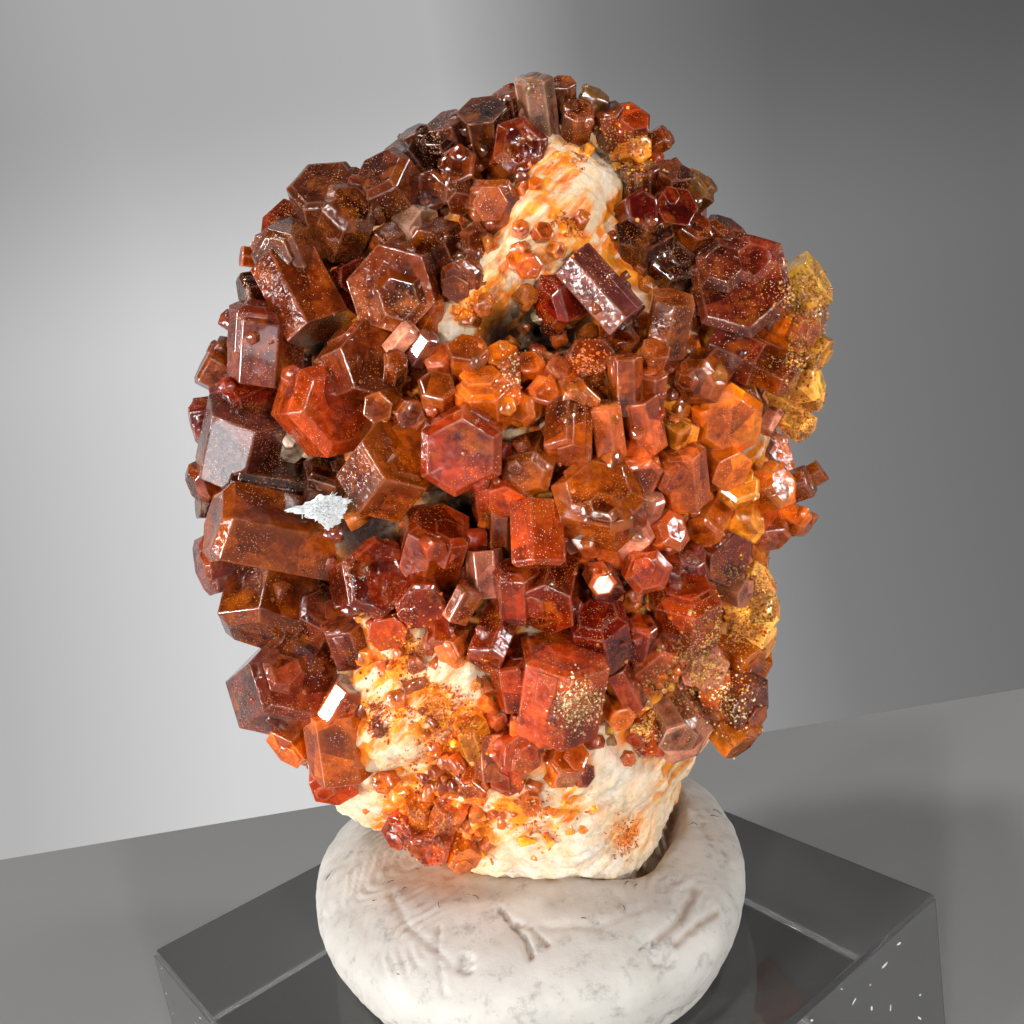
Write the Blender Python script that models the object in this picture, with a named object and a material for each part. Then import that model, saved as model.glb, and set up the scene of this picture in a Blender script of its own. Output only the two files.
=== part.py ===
"""A vanadinite specimen: hexagonal crystals on a lump of white matrix rock, held upright by a flattened
ball of mineral putty on a square block of clear acrylic. Metres, +Z up, origin under the block's middle.

The specimen is laid out in show space: right and up on the show plane, as its show face appears from the
viewing point, and out, the distance from that plane towards the viewing point. All three are in mm.
"""

import math
import random

import bmesh
import bpy
import numpy as np
from mathutils import Vector, noise

MM = 0.001
GAP = 0.3                       # clearance between pieces that touch
SMALLEST_BODY = 3.0             # box volume, in cubic mm, under which a body is a chip left by a cut

# Display block: 1 1/4 inch square, turned so that a corner points forward.
BLOCK_SIDE = 31.75
BLOCK_HEIGHT = 14.0
BLOCK_TURN = math.radians(36.35)
BLOCK_BEVEL = 0.35

# Mineral putty: a flattened ball, pressed down in the middle. Its radii run every 30 degrees from +X.
PUTTY_CENTRE = (0.8, 0.5)
PUTTY_OUTLINE = (11.8, 12.2, 12.4, 12.6, 13.0, 13.2, 12.0, 11.6, 11.9, 12.1, 13.0, 12.2)
PUTTY_HEIGHT = 6.2
PUTTY_BULGE = 0.42              # share of the height at which it is widest
PUTTY_UNDERCUT = 0.08           # how much narrower it is where it rests
PUTTY_DENT = 1.3
PUTTY_DENT_RADIUS = 5.0
PUTTY_SPOKES = 28
PUTTY_RINGS = 8
PUTTY_SIDE_RINGS = 3

# Show space. The viewing point lies SHOW_DISTANCE in front of the show plane's centre.
VIEW_POINT = Vector((3.23, -52.22, 49.98))
VIEW_PITCH = math.radians(13.39)
VIEW_ROLL = math.radians(-9.50)
SHOW_DISTANCE = 52.57

# Matrix: radius of its outline on the show plane every 15 degrees, from the right, anticlockwise.
MATRIX_CENTRE = (0.0, 1.0)
MATRIX_MIDDLE_OUT = -2.0
MATRIX_LEAN = 0.12              # how far its middle comes out for each mm up
MATRIX_FRONT = 9.0
MATRIX_BACK = 9.5
MATRIX_OUTLINE = (12.0, 13.2, 14.4, 14.8, 15.6, 17.9, 17.6, 16.2, 14.6, 13.2, 12.4, 11.8,
                  11.8, 12.0, 12.4, 14.6, 17.8, 18.2, 19.9, 20.9, 16.8, 15.2, 12.8, 11.4)
MATRIX_SQUARENESS = 2.5
MATRIX_SPOKES = 30
MATRIX_RINGS = 6
MATRIX_ROUGHNESS = 0.55
MATRIX_GRAIN = 4.5

# Hollows (positive) and swellings (negative) of the show face: right, up, radius, depth.
RELIEF = (
    (1.2, 8.9, 2.6, 2.6),
    (-2.3, -0.6, 2.4, 2.4),
    (3.4, -2.4, 1.8, 1.6),
    (-9.6, 1.9, 2.2, 2.2),
    (9.4, 3.6, 2.0, 1.0),
    (11.6, -5.4, 1.8, 1.6),
    (0.6, 14.2, 4.5, -0.8),
    (-2.5, -12.5, 5.0, -1.2),
    (3.5, -14.8, 3.5, -0.6),
)

# Crystals: right, up, rise of the middle above the matrix, width, length, then in degrees the tilt of the
# c axis from the line of sight, its heading on the show plane (0 right, 90 up) and the turn about it.
FUSED_TO_MATRIX = (
    (1.45, 13.9, 0.1, 0.95, 0.9, 35, 40, 20),
    (0.25, 12.5, 0.1, 0.95, 1.2, 20, 140, 25),
    (0.80, 12.35, 0.2, 1.30, 1.0, 15, 300, 5),
    (-1.40, 10.35, 0.1, 0.95, 1.0, 30, 250, 0),
    (-2.10, 9.70, 0.1, 0.95, 1.0, 25, 160, 20),
    (0.90, -14.4, 0.1, 1.10, 1.2, 30, 280, 10),
    (-6.30, -13.4, 0.2, 1.10, 1.2, 25, 220, 10),
)

CLUSTERS = {
    "crown_crystals": (
        (1.25, 20.10, 0.9, 1.85, 3.2, 78, 99, 28),
        (2.50, 20.55, 0.3, 1.30, 2.0, 60, 92, 20),
        (3.85, 20.25, 0.2, 1.40, 1.7, 72, 58, 12),
        (-0.10, 20.00, 0.4, 1.50, 2.2, 68, 100, 14),
        (-1.35, 18.95, 0.9, 2.40, 2.6, 58, 100, 22),
        (-2.95, 18.55, 0.5, 1.80, 2.4, 64, 112, 6),
        (-4.50, 18.05, 0.0, 1.60, 2.2, 76, 116, 18),
        (-3.40, 17.90, 0.2, 2.20, 2.6, 50, 110, 0),
        (-5.05, 17.15, -0.2, 2.50, 2.5, 74, 126, 25),
        (0.15, 18.00, 1.2, 2.80, 2.8, 20, 50, 30),
        (-2.45, 16.95, 0.8, 1.90, 2.2, 25, 130, 14),
        (-3.70, 16.10, 0.7, 1.90, 2.2, 18, 190, 8),
        (-0.95, 15.40, 1.0, 2.50, 2.6, 14, 350, 12),
    ),
    "upper_left_crystals": (
        (-5.85, 15.95, 0.9, 2.90, 3.4, 54, 128, 8),
        (-5.05, 14.60, 1.0, 2.00, 2.4, 42, 330, 20),
        (-5.80, 13.60, 0.8, 1.90, 2.4, 60, 210, 0),
        (-3.75, 13.35, 1.2, 2.20, 2.4, 28, 215, 16),
        (-2.10, 13.20, 0.9, 1.80, 2.0, 32, 30, 2),
        (-2.35, 11.85, 0.9, 2.10, 2.4, 22, 244, 24),
        (-5.65, 11.25, 1.6, 4.10, 4.0, 16, 200, 26),
    ),
    "left_shoulder_crystals": (
        (-9.00, 14.90, 0.4, 3.40, 4.0, 50, 102, 18),
        (-8.30, 14.50, 1.6, 2.90, 3.2, 36, 66, 4),
        (-10.45, 13.60, -0.2, 2.60, 3.2, 50, 142, 12),
        (-10.90, 12.90, 1.1, 3.10, 3.2, 42, 205, 26),
        (-10.30, 10.90, 1.5, 3.50, 4.2, 68, 296, 10),
        (-8.15, 11.40, 0.2, 2.20, 2.6, 30, 20, 6),
        (-12.55, 12.65, -1.0, 1.10, 2.0, 80, 172, 5),
        (-12.40, 11.20, -0.6, 1.80, 2.4, 72, 190, 15),
    ),
    "left_flank_crystals": (
        (-12.35, 8.45, 1.5, 3.60, 3.6, 76, 84, 22),
        (-14.00, 6.90, -1.0, 2.50, 3.0, 84, 152, 10),
        (-14.45, 4.60, -1.2, 2.30, 3.0, 84, 188, 20),
        (-13.20, 5.70, 0.4, 2.50, 3.0, 58, 206, 0),
        (-13.50, 3.60, 0.9, 3.60, 3.8, 58, 76, 14),
        (-10.95, 3.60, 0.7, 2.00, 2.6, 46, 38, 8),
        (-14.75, 1.70, -0.3, 2.10, 2.6, 70, 205, 18),
        (-14.60, 0.60, -0.8, 1.80, 2.2, 80, 180, 4),
    ),
    "middle_left_crystals": (
        (-9.20, 5.30, 1.5, 4.60, 3.2, 20, 2, 10),
        (-7.45, 7.50, 1.4, 3.70, 3.6, 26, 24, 24),
        (-5.00, 2.90, 1.2, 2.80, 2.0, 16, 92, 16),
        (-5.95, 2.10, 1.6, 4.00, 3.2, 44, 52, 2),
    ),
    "centre_crystals": (
        (-2.20, 7.30, 1.2, 1.90, 2.4, 48, 88, 20),
        (-0.50, 7.30, 1.1, 1.60, 2.2, 34, 80, 15),
        (-0.45, 6.15, 1.5, 1.80, 2.0, 22, 268, 3),
        (-3.70, 5.70, 1.8, 1.90, 2.2, 36, 92, 11),
        (-1.35, 5.50, 1.6, 2.70, 2.4, 54, 96, 25),
        (-2.45, 3.35, 2.0, 4.00, 3.6, 18, 250, 18),
        (1.00, 2.50, 1.0, 2.40, 2.6, 32, 248, 8),
        (2.90, 4.00, 1.2, 2.50, 2.8, 58, 268, 2),
        (3.25, 5.70, 1.0, 1.90, 2.2, 24, 300, 17),
        (4.00, 7.35, 0.9, 2.10, 2.4, 26, 98, 24),
        (4.75, 3.90, 1.3, 1.70, 3.2, 72, 98, 10),
        (-0.20, 1.20, 0.9, 1.90, 2.2, 40, 260, 5),
        (-1.10, 0.60, 0.6, 1.70, 2.2, 62, 96, 19),
    ),
    "centre_right_crystals": (
        (5.65, 6.35, 1.6, 1.60, 3.0, 78, 92, 30),
        (6.95, 6.00, 0.9, 1.50, 2.4, 60, 84, 16),
        (6.60, 4.40, 1.3, 1.90, 2.8, 70, 102, 22),
        (8.15, 4.10, 1.0, 1.60, 2.0, 56, 326, 8),
        (6.15, 2.30, 1.5, 2.20, 2.4, 42, 300, 14),
        (8.60, 1.80, 1.2, 2.20, 3.2, 58, 97, 26),
        (4.40, 0.60, 1.7, 4.40, 3.0, 30, 94, 12),
        (1.25, -1.15, 2.0, 2.70, 3.3, 80, 272, 6),
    ),
    "ledge_crystals": (
        (4.40, 11.05, 1.9, 2.25, 4.2, 80, 313, 0),
        (2.95, 10.80, 0.6, 2.90, 3.4, 58, 205, 13),
        (6.60, 13.00, 0.0, 2.80, 3.0, 48, 92, 7),
        (7.70, 11.80, 0.0, 2.30, 2.8, 40, 60, 19),
        (5.40, 9.20, 0.3, 1.80, 2.2, 40, 280, 22),
    ),
    "upper_right_crystals": (
        (6.40, 16.20, 0.5, 1.80, 2.4, 68, 92, 29),
        (6.10, 14.85, 0.9, 1.90, 2.2, 30, 30, 5),
        (7.75, 16.05, 0.3, 1.80, 2.4, 60, 70, 14),
        (8.75, 15.75, -0.2, 1.90, 2.4, 74, 40, 23),
        (7.80, 14.70, 0.8, 2.10, 2.4, 36, 48, 9),
        (8.90, 13.60, 0.5, 1.90, 2.4, 50, 66, 18),
        (10.20, 13.30, 0.1, 2.20, 2.6, 70, 62, 2),
    ),
    "top_right_knob": (
        (5.75, 19.00, 0.2, 2.00, 2.2, 48, 70, 12),
        (4.90, 19.20, 0.2, 1.50, 2.0, 58, 104, 24),
        (6.95, 18.35, -0.6, 1.20, 2.0, 78, 28, 6),
        (5.95, 18.10, 0.3, 1.30, 1.8, 40, 10, 20),
    ),
    "right_shoulder_crystals": (
        (11.25, 10.80, 1.0, 4.90, 4.4, 16, 84, 20),
        (7.80, 9.35, 1.3, 2.20, 3.0, 68, 80, 8),
        (11.20, 7.90, 1.9, 2.30, 2.6, 78, 336, 4),
        (12.95, 7.10, 1.6, 2.30, 2.6, 76, 334, 2),
        (9.60, 6.75, 1.0, 2.40, 2.4, 26, 230, 15),
        (10.75, 4.75, 0.8, 3.40, 2.6, 18, 300, 25),
        (13.60, 9.10, 0.4, 2.20, 2.6, 60, 346, 11),
        (14.15, 11.10, -1.2, 2.50, 2.8, 76, 32, 21),
        (14.15, 9.70, -1.2, 2.40, 2.8, 80, 356, 3),
        (14.30, 8.30, -0.8, 2.00, 2.8, 76, 330, 13),
        (14.10, 6.30, -0.6, 1.70, 2.4, 74, 10, 7),
        (14.60, 5.90, -1.2, 1.50, 2.0, 80, 355, 17),
        (13.95, 4.70, -0.4, 1.50, 2.2, 66, 320, 26),
    ),
    "right_edge_crystals": (
        (10.40, 2.60, 0.8, 2.10, 2.4, 46, 310, 10),
        (11.20, 1.00, 0.9, 2.00, 2.2, 28, 60, 22),
        (12.60, 1.20, 0.4, 2.20, 2.6, 48, 14, 6),
        (13.80, 1.20, -0.5, 1.60, 2.4, 72, 20, 18),
        (11.60, -0.30, 0.8, 1.80, 2.2, 36, 270, 28),
        (12.75, -0.50, 0.2, 1.80, 2.4, 56, 290, 12),
        (13.90, -0.20, -0.6, 1.50, 2.2, 74, 330, 8),
        (9.90, -0.60, 0.7, 1.70, 2.2, 36, 240, 16),
    ),
    "right_druse": (
        (10.00, -2.00, 0.7, 2.60, 2.8, 48, 330, 4),
        (8.80, -2.60, 0.4, 2.00, 2.4, 30, 260, 20),
        (11.70, -3.90, -0.3, 1.80, 2.4, 66, 30, 24),
        (12.05, -4.90, -0.5, 1.80, 2.4, 70, 2, 14),
        (11.80, -6.10, -0.5, 1.80, 2.4, 68, 340, 0),
        (11.30, -7.00, -0.2, 1.70, 2.2, 60, 320, 9),
    ),
    "lower_left_crystals": (
        (-11.90, -1.15, 1.5, 4.20, 6.2, 74, 168, 8),
        (-11.80, 1.00, 0.6, 3.40, 4.8, 78, 172, 20),
        (-13.90, -2.35, 0.4, 3.00, 3.4, 72, 196, 2),
        (-9.35, 1.30, 0.3, 2.40, 2.8, 46, 82, 16),
        (-12.05, -4.85, 1.3, 4.40, 3.0, 68, 258, 12),
        (-9.60, -5.45, 1.0, 2.70, 2.8, 36, 64, 26),
        (-8.25, -6.50, 0.9, 1.90, 2.4, 54, 110, 6),
    ),
    "left_foot_crystals": (
        (-11.10, -8.60, 1.1, 4.60, 4.4, 22, 36, 12),
        (-8.60, -11.40, 1.0, 3.00, 3.6, 66, 100, 22),
        (-8.45, -9.40, 1.4, 1.70, 2.2, 60, 60, 8),
        (-8.90, -12.90, 0.5, 2.30, 2.4, 50, 270, 14),
        (-10.60, -11.10, -0.2, 2.20, 2.4, 66, 230, 3),
    ),
    "lower_centre_crystals": (
        (-3.95, -1.70, 1.7, 3.60, 3.4, 54, 74, 10),
        (-7.10, -3.25, 1.6, 3.60, 3.2, 17, 16, 24),
        (-1.35, -3.05, 1.6, 1.60, 2.4, 82, 95, 30),
        (-4.60, -4.10, 1.2, 2.60, 2.6, 34, 280, 18),
        (-0.85, -6.20, 1.1, 2.10, 3.2, 58, 248, 5),
        (0.15, -3.90, 1.2, 2.40, 2.8, 58, 92, 20),
        (1.90, -3.95, 1.2, 3.00, 3.0, 42, 256, 15),
        (-6.05, -5.60, 0.9, 1.90, 2.2, 30, 250, 7),
    ),
    "lower_right_crystals": (
        (2.50, -8.70, 1.7, 4.20, 4.4, 56, 80, 14),
        (0.10, -8.40, 1.2, 2.00, 2.6, 58, 100, 24),
        (1.30, -10.30, 1.0, 2.50, 2.4, 40, 260, 6),
        (8.55, -5.10, 1.3, 3.40, 3.2, 48, 84, 16),
        (4.50, -6.05, 0.9, 2.80, 3.0, 40, 102, 2),
        (6.90, -7.40, 1.1, 1.80, 2.8, 60, 38, 10),
        (9.40, -7.30, 0.7, 2.20, 2.4, 44, 300, 19),
    ),
    "lower_right_edge_crystals": (
        (8.05, -10.60, 0.8, 3.00, 3.0, 48, 300, 12),
        (6.90, -10.90, 0.5, 2.00, 2.2, 40, 250, 4),
        (10.90, -9.20, 0.0, 2.90, 3.0, 62, 330, 22),
        (10.15, -8.90, 0.8, 1.80, 2.4, 54, 96, 7),
        (10.70, -10.60, 0.0, 2.20, 2.8, 72, 306, 16),
    ),
    "cave_crystals": (
        (4.80, -1.75, 0.9, 1.80, 2.6, 50, 100, 23),
        (7.45, -1.20, 1.1, 1.90, 2.4, 44, 26, 18),
        (6.55, -2.80, 1.3, 2.20, 2.4, 22, 310, 1),
        (7.70, -3.00, 0.6, 1.60, 2.0, 36, 260, 12),
    ),
    "apron_crystals": (
        (-1.00, -12.10, 0.8, 1.70, 2.4, 72, 94, 30),
        (0.15, -11.80, 0.9, 2.00, 2.2, 30, 320, 10),
        (-0.10, -12.90, 0.8, 1.70, 2.0, 40, 250, 20),
        (-1.90, -11.20, 0.7, 1.60, 2.0, 46, 110, 5),
        (-1.60, -13.40, 0.7, 1.60, 2.2, 50, 240, 15),
    ),
    "red_button_crystal": (
        (2.65, -12.60, 0.5, 1.90, 2.0, 28, 60, 8),
        (3.25, -12.95, 0.2, 1.20, 1.6, 50, 330, 20),
    ),
    "foot_druse": (
        (-3.85, -16.10, 0.3, 2.00, 2.4, 48, 250, 6),
        (-5.10, -15.60, 0.3, 1.80, 2.2, 52, 220, 18),
        (-2.60, -16.60, 0.2, 1.60, 2.2, 54, 290, 25),
        (-4.60, -14.80, 0.3, 1.60, 2.0, 34, 100, 12),
        (-3.20, -15.10, 0.4, 1.60, 2.0, 30, 60, 3),
    ),
}

# The sides and back: crystals strewn over them, largest first, in sectors that each grew together. A sector
# is its turn round the outline, from and to in degrees, and its lift, from -1 at the back to 0 at the outline.
STREWN_SEED = 7
STREWN_TRIES = 900
STREWN_WIDTHS = (4.6, 2.4)
STREWN_CLUSTERS = {
    "left_side_crystals": (100, 215, -0.34, 0.0),
    "right_side_crystals": (-40, 70, -0.44, -0.24),
    "back_top_crystals": (40, 140, -0.97, -0.44),
    "back_left_crystals": (-50, 40, -0.97, -0.50),
    "back_right_crystals": (140, 220, -0.97, -0.44),
}
STREWN_SPACING = 0.47           # least distance of two middles, as a share of their widths together
STREWN_RISE = 0.22              # of its width that a crystal's middle stands off the rock
STREWN_OVERHANG = 1.2           # how far they may reach past the matrix's outline
STREWN_LOWEST = 26.0            # world height
STREWN_BARE = ((1.0, -3.5, 4.2), (-5.0, 8.5, 2.6))     # right, up, radius of rock left bare on the back

COLOURS = {
    "crystal": (0.34, 0.055, 0.012),
    "gold": (0.42, 0.16, 0.03),
    "rock": (0.80, 0.70, 0.58),
    "putty": (0.62, 0.60, 0.56),
    "acrylic": (0.86, 0.88, 0.90),
}


def show_axes():
    """Right, up and out of the show plane, as unit vectors."""
    forward = Vector((0, math.cos(VIEW_PITCH), -math.sin(VIEW_PITCH)))
    level = Vector((1, 0, 0))
    rise = level.cross(forward)
    right = level * math.cos(VIEW_ROLL) + rise * math.sin(VIEW_ROLL)
    up = rise * math.cos(VIEW_ROLL) - level * math.sin(VIEW_ROLL)
    return right, up, -forward


RIGHT, UP, OUT = show_axes()


def shrink(out):
    """How a length at this distance compares with the length it covers on the show plane."""
    return (SHOW_DISTANCE - out) / SHOW_DISTANCE


def place(right, up, out):
    """The world position, in mm, of a place in show space."""
    scale = shrink(out)
    return VIEW_POINT - OUT * (SHOW_DISTANCE - out) + (RIGHT * right + UP * up) * scale


def outline_radius(outline, angle):
    """The outline's radius at this angle, by a smooth curve through its listed radii."""
    count = len(outline)
    step = (angle / (2 * math.pi) * count) % count
    first = int(step)
    share = step - first
    before, here, after, beyond = (outline[(first + k) % count] for k in (-1, 0, 1, 2))
    slope_here = (after - before) / 2
    slope_after = (beyond - here) / 2
    cubic = 2 * (here - after) + slope_here + slope_after
    square = -3 * (here - after) - 2 * slope_here - slope_after
    return here + share * (slope_here + share * (square + share * cubic))


def relief(right, up):
    """How far the show face is pushed out here by its hollows and swellings."""
    total = 0.0
    for x, y, radius, depth in RELIEF:
        total -= depth * math.exp(-((right - x) ** 2 + (up - y) ** 2) / radius ** 2)
    return total


def middle_out(up):
    return MATRIX_MIDDLE_OUT + MATRIX_LEAN * up


def matrix_depth(right, up, swell, front):
    """Out of the matrix's surface here, given how full it is: 0 at its outline, 1 at its middle."""
    grain = MATRIX_ROUGHNESS * noise.noise(Vector((right, up, 0 if front else 9)) / MATRIX_GRAIN)
    if front:
        return middle_out(up) + swell * (MATRIX_FRONT + relief(right, up) + grain)
    return middle_out(up) - swell * (MATRIX_BACK + grain)


def matrix_out(right, up):
    """Out of the matrix's show face at this place, which is first brought inside its outline."""
    dx = right - MATRIX_CENTRE[0]
    dy = up - MATRIX_CENTRE[1]
    reach = outline_radius(MATRIX_OUTLINE, math.atan2(dy, dx))
    share = min(math.hypot(dx, dy) / reach, 0.93)
    swell = (1 - share ** MATRIX_SQUARENESS) ** (1 / MATRIX_SQUARENESS)
    return matrix_depth(right, up, swell, True)


def matrix_point(turn, lift):
    """Show-space point of the matrix: turn goes round the outline, lift from -1 at the back to 1 in front."""
    swell = abs(math.sin(lift * math.pi / 2)) ** (2 / MATRIX_SQUARENESS)
    share = math.cos(lift * math.pi / 2) ** (2 / MATRIX_SQUARENESS)
    reach = outline_radius(MATRIX_OUTLINE, turn) * share
    right = MATRIX_CENTRE[0] + reach * math.cos(turn)
    up = MATRIX_CENTRE[1] + reach * math.sin(turn)
    return right, up, matrix_depth(right, up, swell, lift > 0)


def standing(crystal):
    """A listed crystal with the rise of its middle replaced by its out."""
    right, up, rise = crystal[:3]
    return (right, up, matrix_out(right, up) + rise, *crystal[3:])


def new_object(name, mesh):
    thing = bpy.data.objects.new(name, mesh)
    bpy.context.scene.collection.objects.link(thing)
    return thing


def mesh_of(name, points, faces):
    """A mesh in metres from points in mm, its faces turned outwards."""
    mesh = bpy.data.meshes.new(name)
    mesh.from_pydata([Vector(point) * MM for point in points], [], faces)
    form = bmesh.new()
    form.from_mesh(mesh)
    bmesh.ops.recalc_face_normals(form, faces=form.faces)
    form.to_mesh(mesh)
    form.free()
    return mesh


def rings_mesh(name, rings, first, last):
    """A closed mesh from rings of points, with a point that closes each end."""
    points = [first]
    for ring in rings:
        points.extend(ring)
    points.append(last)
    count = len(rings[0])
    faces = []
    for k in range(count):
        after = (k + 1) % count
        faces.append((0, 1 + k, 1 + after))
        for r in range(len(rings) - 1):
            low = 1 + r * count
            high = low + count
            faces.append((low + k, high + k, high + after, low + after))
        low = 1 + (len(rings) - 1) * count
        faces.append((low + k, len(points) - 1, low + after))
    return mesh_of(name, points, faces)


def matrix_mesh(name):
    lifts = [k / MATRIX_RINGS for k in range(1 - MATRIX_RINGS, MATRIX_RINGS)]
    rings = []
    for lift in lifts:
        turns = [2 * math.pi * k / MATRIX_SPOKES for k in range(MATRIX_SPOKES)]
        rings.append([place(*matrix_point(turn, lift)) for turn in turns])
    mesh = rings_mesh(name, rings, place(*matrix_point(0, -1)), place(*matrix_point(0, 1)))
    form = bmesh.new()
    form.from_mesh(mesh)
    bmesh.ops.triangulate(form, faces=form.faces)
    form.to_mesh(mesh)
    form.free()
    return mesh


def grown(mesh, distance):
    """A copy of the mesh with each point moved outwards."""
    copy = mesh.copy()
    normals = [vertex.normal.copy() for vertex in copy.vertices]
    for vertex, normal in zip(copy.vertices, normals):
        vertex.co += normal * distance * MM
    return copy


def crystal_frame(centre, tilt, heading):
    """The c axis of a crystal at this world position, and two directions square to it."""
    out = (VIEW_POINT - centre).normalized()
    right = (RIGHT - out * RIGHT.dot(out)).normalized()
    up = out.cross(right)
    side = right * math.cos(heading) + up * math.sin(heading)
    axis = out * math.cos(tilt) + side * math.sin(tilt)
    across = up * math.cos(heading) - right * math.sin(heading)
    return axis, across, axis.cross(across)


def hexagon(width, spin, seed):
    """Corners of a hexagon whose six sides lie at slightly unlike distances, as real prism faces do."""
    chance = random.Random(seed)
    reach = [width / 2 * chance.uniform(0.86, 1.06) for _ in range(6)]
    corners = []
    for k in range(6):
        angle = spin + k * math.pi / 3
        after = angle + math.pi / 3
        near = reach[k]
        far = reach[(k + 1) % 6]
        x = (near * math.sin(after) - far * math.sin(angle)) / math.sin(math.pi / 3)
        y = (far * math.cos(angle) - near * math.cos(after)) / math.sin(math.pi / 3)
        corners.append((x, y))
    return corners


def prism_mesh(name, crystal, seed, margin=0.0):
    """A hexagonal prism with flat ends, grown by the margin on every side."""
    right, up, out, width, length, tilt, heading, spin = crystal
    centre = place(right, up, out)
    scale = shrink(out)
    axis, across, along = crystal_frame(centre, math.radians(tilt), math.radians(heading))
    half = length * scale / 2 + margin
    points = []
    for end in (-half, half):
        for x, y in hexagon(width * scale + 2 * margin, math.radians(spin), seed):
            points.append(centre + axis * end + across * x + along * y)
    faces = [tuple(range(6)), tuple(range(6, 12))]
    for k in range(6):
        after = (k + 1) % 6
        faces.append((k, after, after + 6, k + 6))
    return mesh_of(name, points, faces)


def combine(thing, operation, cutters):
    """Applies a Boolean of the object with all the cutters, and deletes them."""
    group = bpy.data.collections.new("operands")
    bpy.context.scene.collection.children.link(group)
    for cutter in cutters:
        group.objects.link(cutter)
    modifier = thing.modifiers.new(operation, "BOOLEAN")
    modifier.operation = operation
    modifier.operand_type = "COLLECTION"
    modifier.collection = group
    graph = bpy.context.evaluated_depsgraph_get()
    mesh = bpy.data.meshes.new_from_object(thing.evaluated_get(graph))
    thing.modifiers.clear()
    thing.data = mesh
    for cutter in cutters:
        bpy.data.objects.remove(cutter)
    bpy.data.collections.remove(group)


def islands_of(form):
    """The separate bodies of a mesh, each as a set of vertex indices, largest first."""
    left = set(form.verts)
    islands = []
    while left:
        start = left.pop()
        island = {start}
        reached = [start]
        while reached:
            vertex = reached.pop()
            for edge in vertex.link_edges:
                other = edge.other_vert(vertex)
                if other in left:
                    left.remove(other)
                    island.add(other)
                    reached.append(other)
        islands.append(island)
    islands.sort(key=span, reverse=True)
    return [{vertex.index for vertex in island} for island in islands if span(island) > SMALLEST_BODY]


def span(island):
    """The volume in cubic mm of the box round some vertices."""
    places = np.array([vertex.co for vertex in island]) / MM
    return float(np.prod(places.max(0) - places.min(0)))


def bodies_of(mesh):
    """One mesh for each separate body, largest first, without the chips that a cut left."""
    form = bmesh.new()
    form.from_mesh(mesh)
    bmesh.ops.remove_doubles(form, verts=form.verts, dist=0.0005 * MM)
    bmesh.ops.triangulate(form, faces=form.faces)
    form.verts.index_update()
    islands = islands_of(form)
    bodies = []
    for island in islands:
        part = form.copy()
        unwanted = [vertex for vertex in part.verts if vertex.index not in island]
        bmesh.ops.delete(part, geom=unwanted, context="VERTS")
        body = bpy.data.meshes.new(mesh.name)
        part.to_mesh(body)
        part.free()
        bodies.append(body)
    form.free()
    return bodies


def finish(thing, colour, roughness):
    material = bpy.data.materials.new(thing.name)
    material.use_nodes = True
    shader = material.node_tree.nodes["Principled BSDF"]
    shader.inputs["Base Color"].default_value = (*COLOURS[colour], 1)
    shader.inputs["Roughness"].default_value = roughness
    thing.data.materials.clear()
    thing.data.materials.append(material)


def strewn_crystals():
    """Crystals for the sides and back, by cluster, spaced by their widths."""
    chance = random.Random(STREWN_SEED)
    placed = []
    clusters = {name: [] for name in STREWN_CLUSTERS}
    widest, narrowest = STREWN_WIDTHS
    for k in range(STREWN_TRIES):
        name, (low, high, back, front) = chance.choice(list(STREWN_CLUSTERS.items()))
        turn = math.radians(chance.uniform(low, high))
        lift = chance.uniform(back, front)
        width = widest + (narrowest - widest) * (k / STREWN_TRIES) ** 0.4
        length = width * chance.uniform(0.9, 1.2)
        tilt = 90 + 90 * abs(lift) ** 0.8 + chance.uniform(-20, 20)
        heading = math.degrees(turn) + chance.uniform(-30, 30)
        spin = chance.uniform(0, 60)
        right, up, out = matrix_point(turn, lift)
        spot = place(right, up, out)
        if spot.z < STREWN_LOWEST:
            continue
        if any((spot - other).length < (width + room) * STREWN_SPACING for other, room in placed):
            continue
        if any(math.hypot(right - x, up - y) < room and lift < -0.4 for x, y, room in STREWN_BARE):
            continue
        reach = math.hypot(right - MATRIX_CENTRE[0], up - MATRIX_CENTRE[1]) + width * 0.6
        if reach > outline_radius(MATRIX_OUTLINE, turn) + STREWN_OVERHANG:
            continue
        placed.append((spot, width))
        lean = math.radians(tilt)
        rise = STREWN_RISE * width
        right += rise * math.sin(lean) * math.cos(turn)
        up += rise * math.sin(lean) * math.sin(turn)
        out += rise * math.cos(lean)
        clusters[name].append((right, up, out, width, length, tilt, heading, spin))
    return clusters


def reach_of(crystal):
    """A crystal's middle and how far it reaches from there."""
    right, up, out, width, length = crystal[:5]
    return place(right, up, out), math.hypot(width * 0.62, length / 2) * shrink(out) + GAP


def near(one, other):
    """Whether two crystals, given by middle and reach, can touch."""
    return (one[0] - other[0]).length < one[1] + other[1]


def grow_cluster(name, crystals, rock, earlier):
    """Crystals grown together, clear of the rock and of the clusters made before them: one object, and one
    more for each group of them that stands clear of the first."""
    seeds = [f"{name} {k}" for k in range(len(crystals))]
    prisms = [new_object(seed, prism_mesh(seed, crystal, seed)) for crystal, seed in zip(crystals, seeds)]
    cluster = new_object(name, prisms[0].data.copy())
    combine(cluster, "UNION", prisms[1:])
    bpy.data.objects.remove(prisms[0])
    cutters = [new_object("rock cutter", rock.copy())]
    for other, other_seed in earlier:
        if any(near(reach_of(other), reach_of(crystal)) for crystal in crystals):
            cutters.append(new_object("cutter", prism_mesh("cutter", other, other_seed, GAP)))
    combine(cluster, "DIFFERENCE", cutters)
    bodies = bodies_of(cluster.data)
    cluster.data = bodies[0]
    finish(cluster, "gold" if "druse" in name else "crystal", 0.15)
    for number, body in enumerate(bodies[1:], 2):
        finish(new_object(f"{name}_{number}", body), "crystal", 0.15)
    earlier.extend(zip(crystals, seeds))


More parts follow.
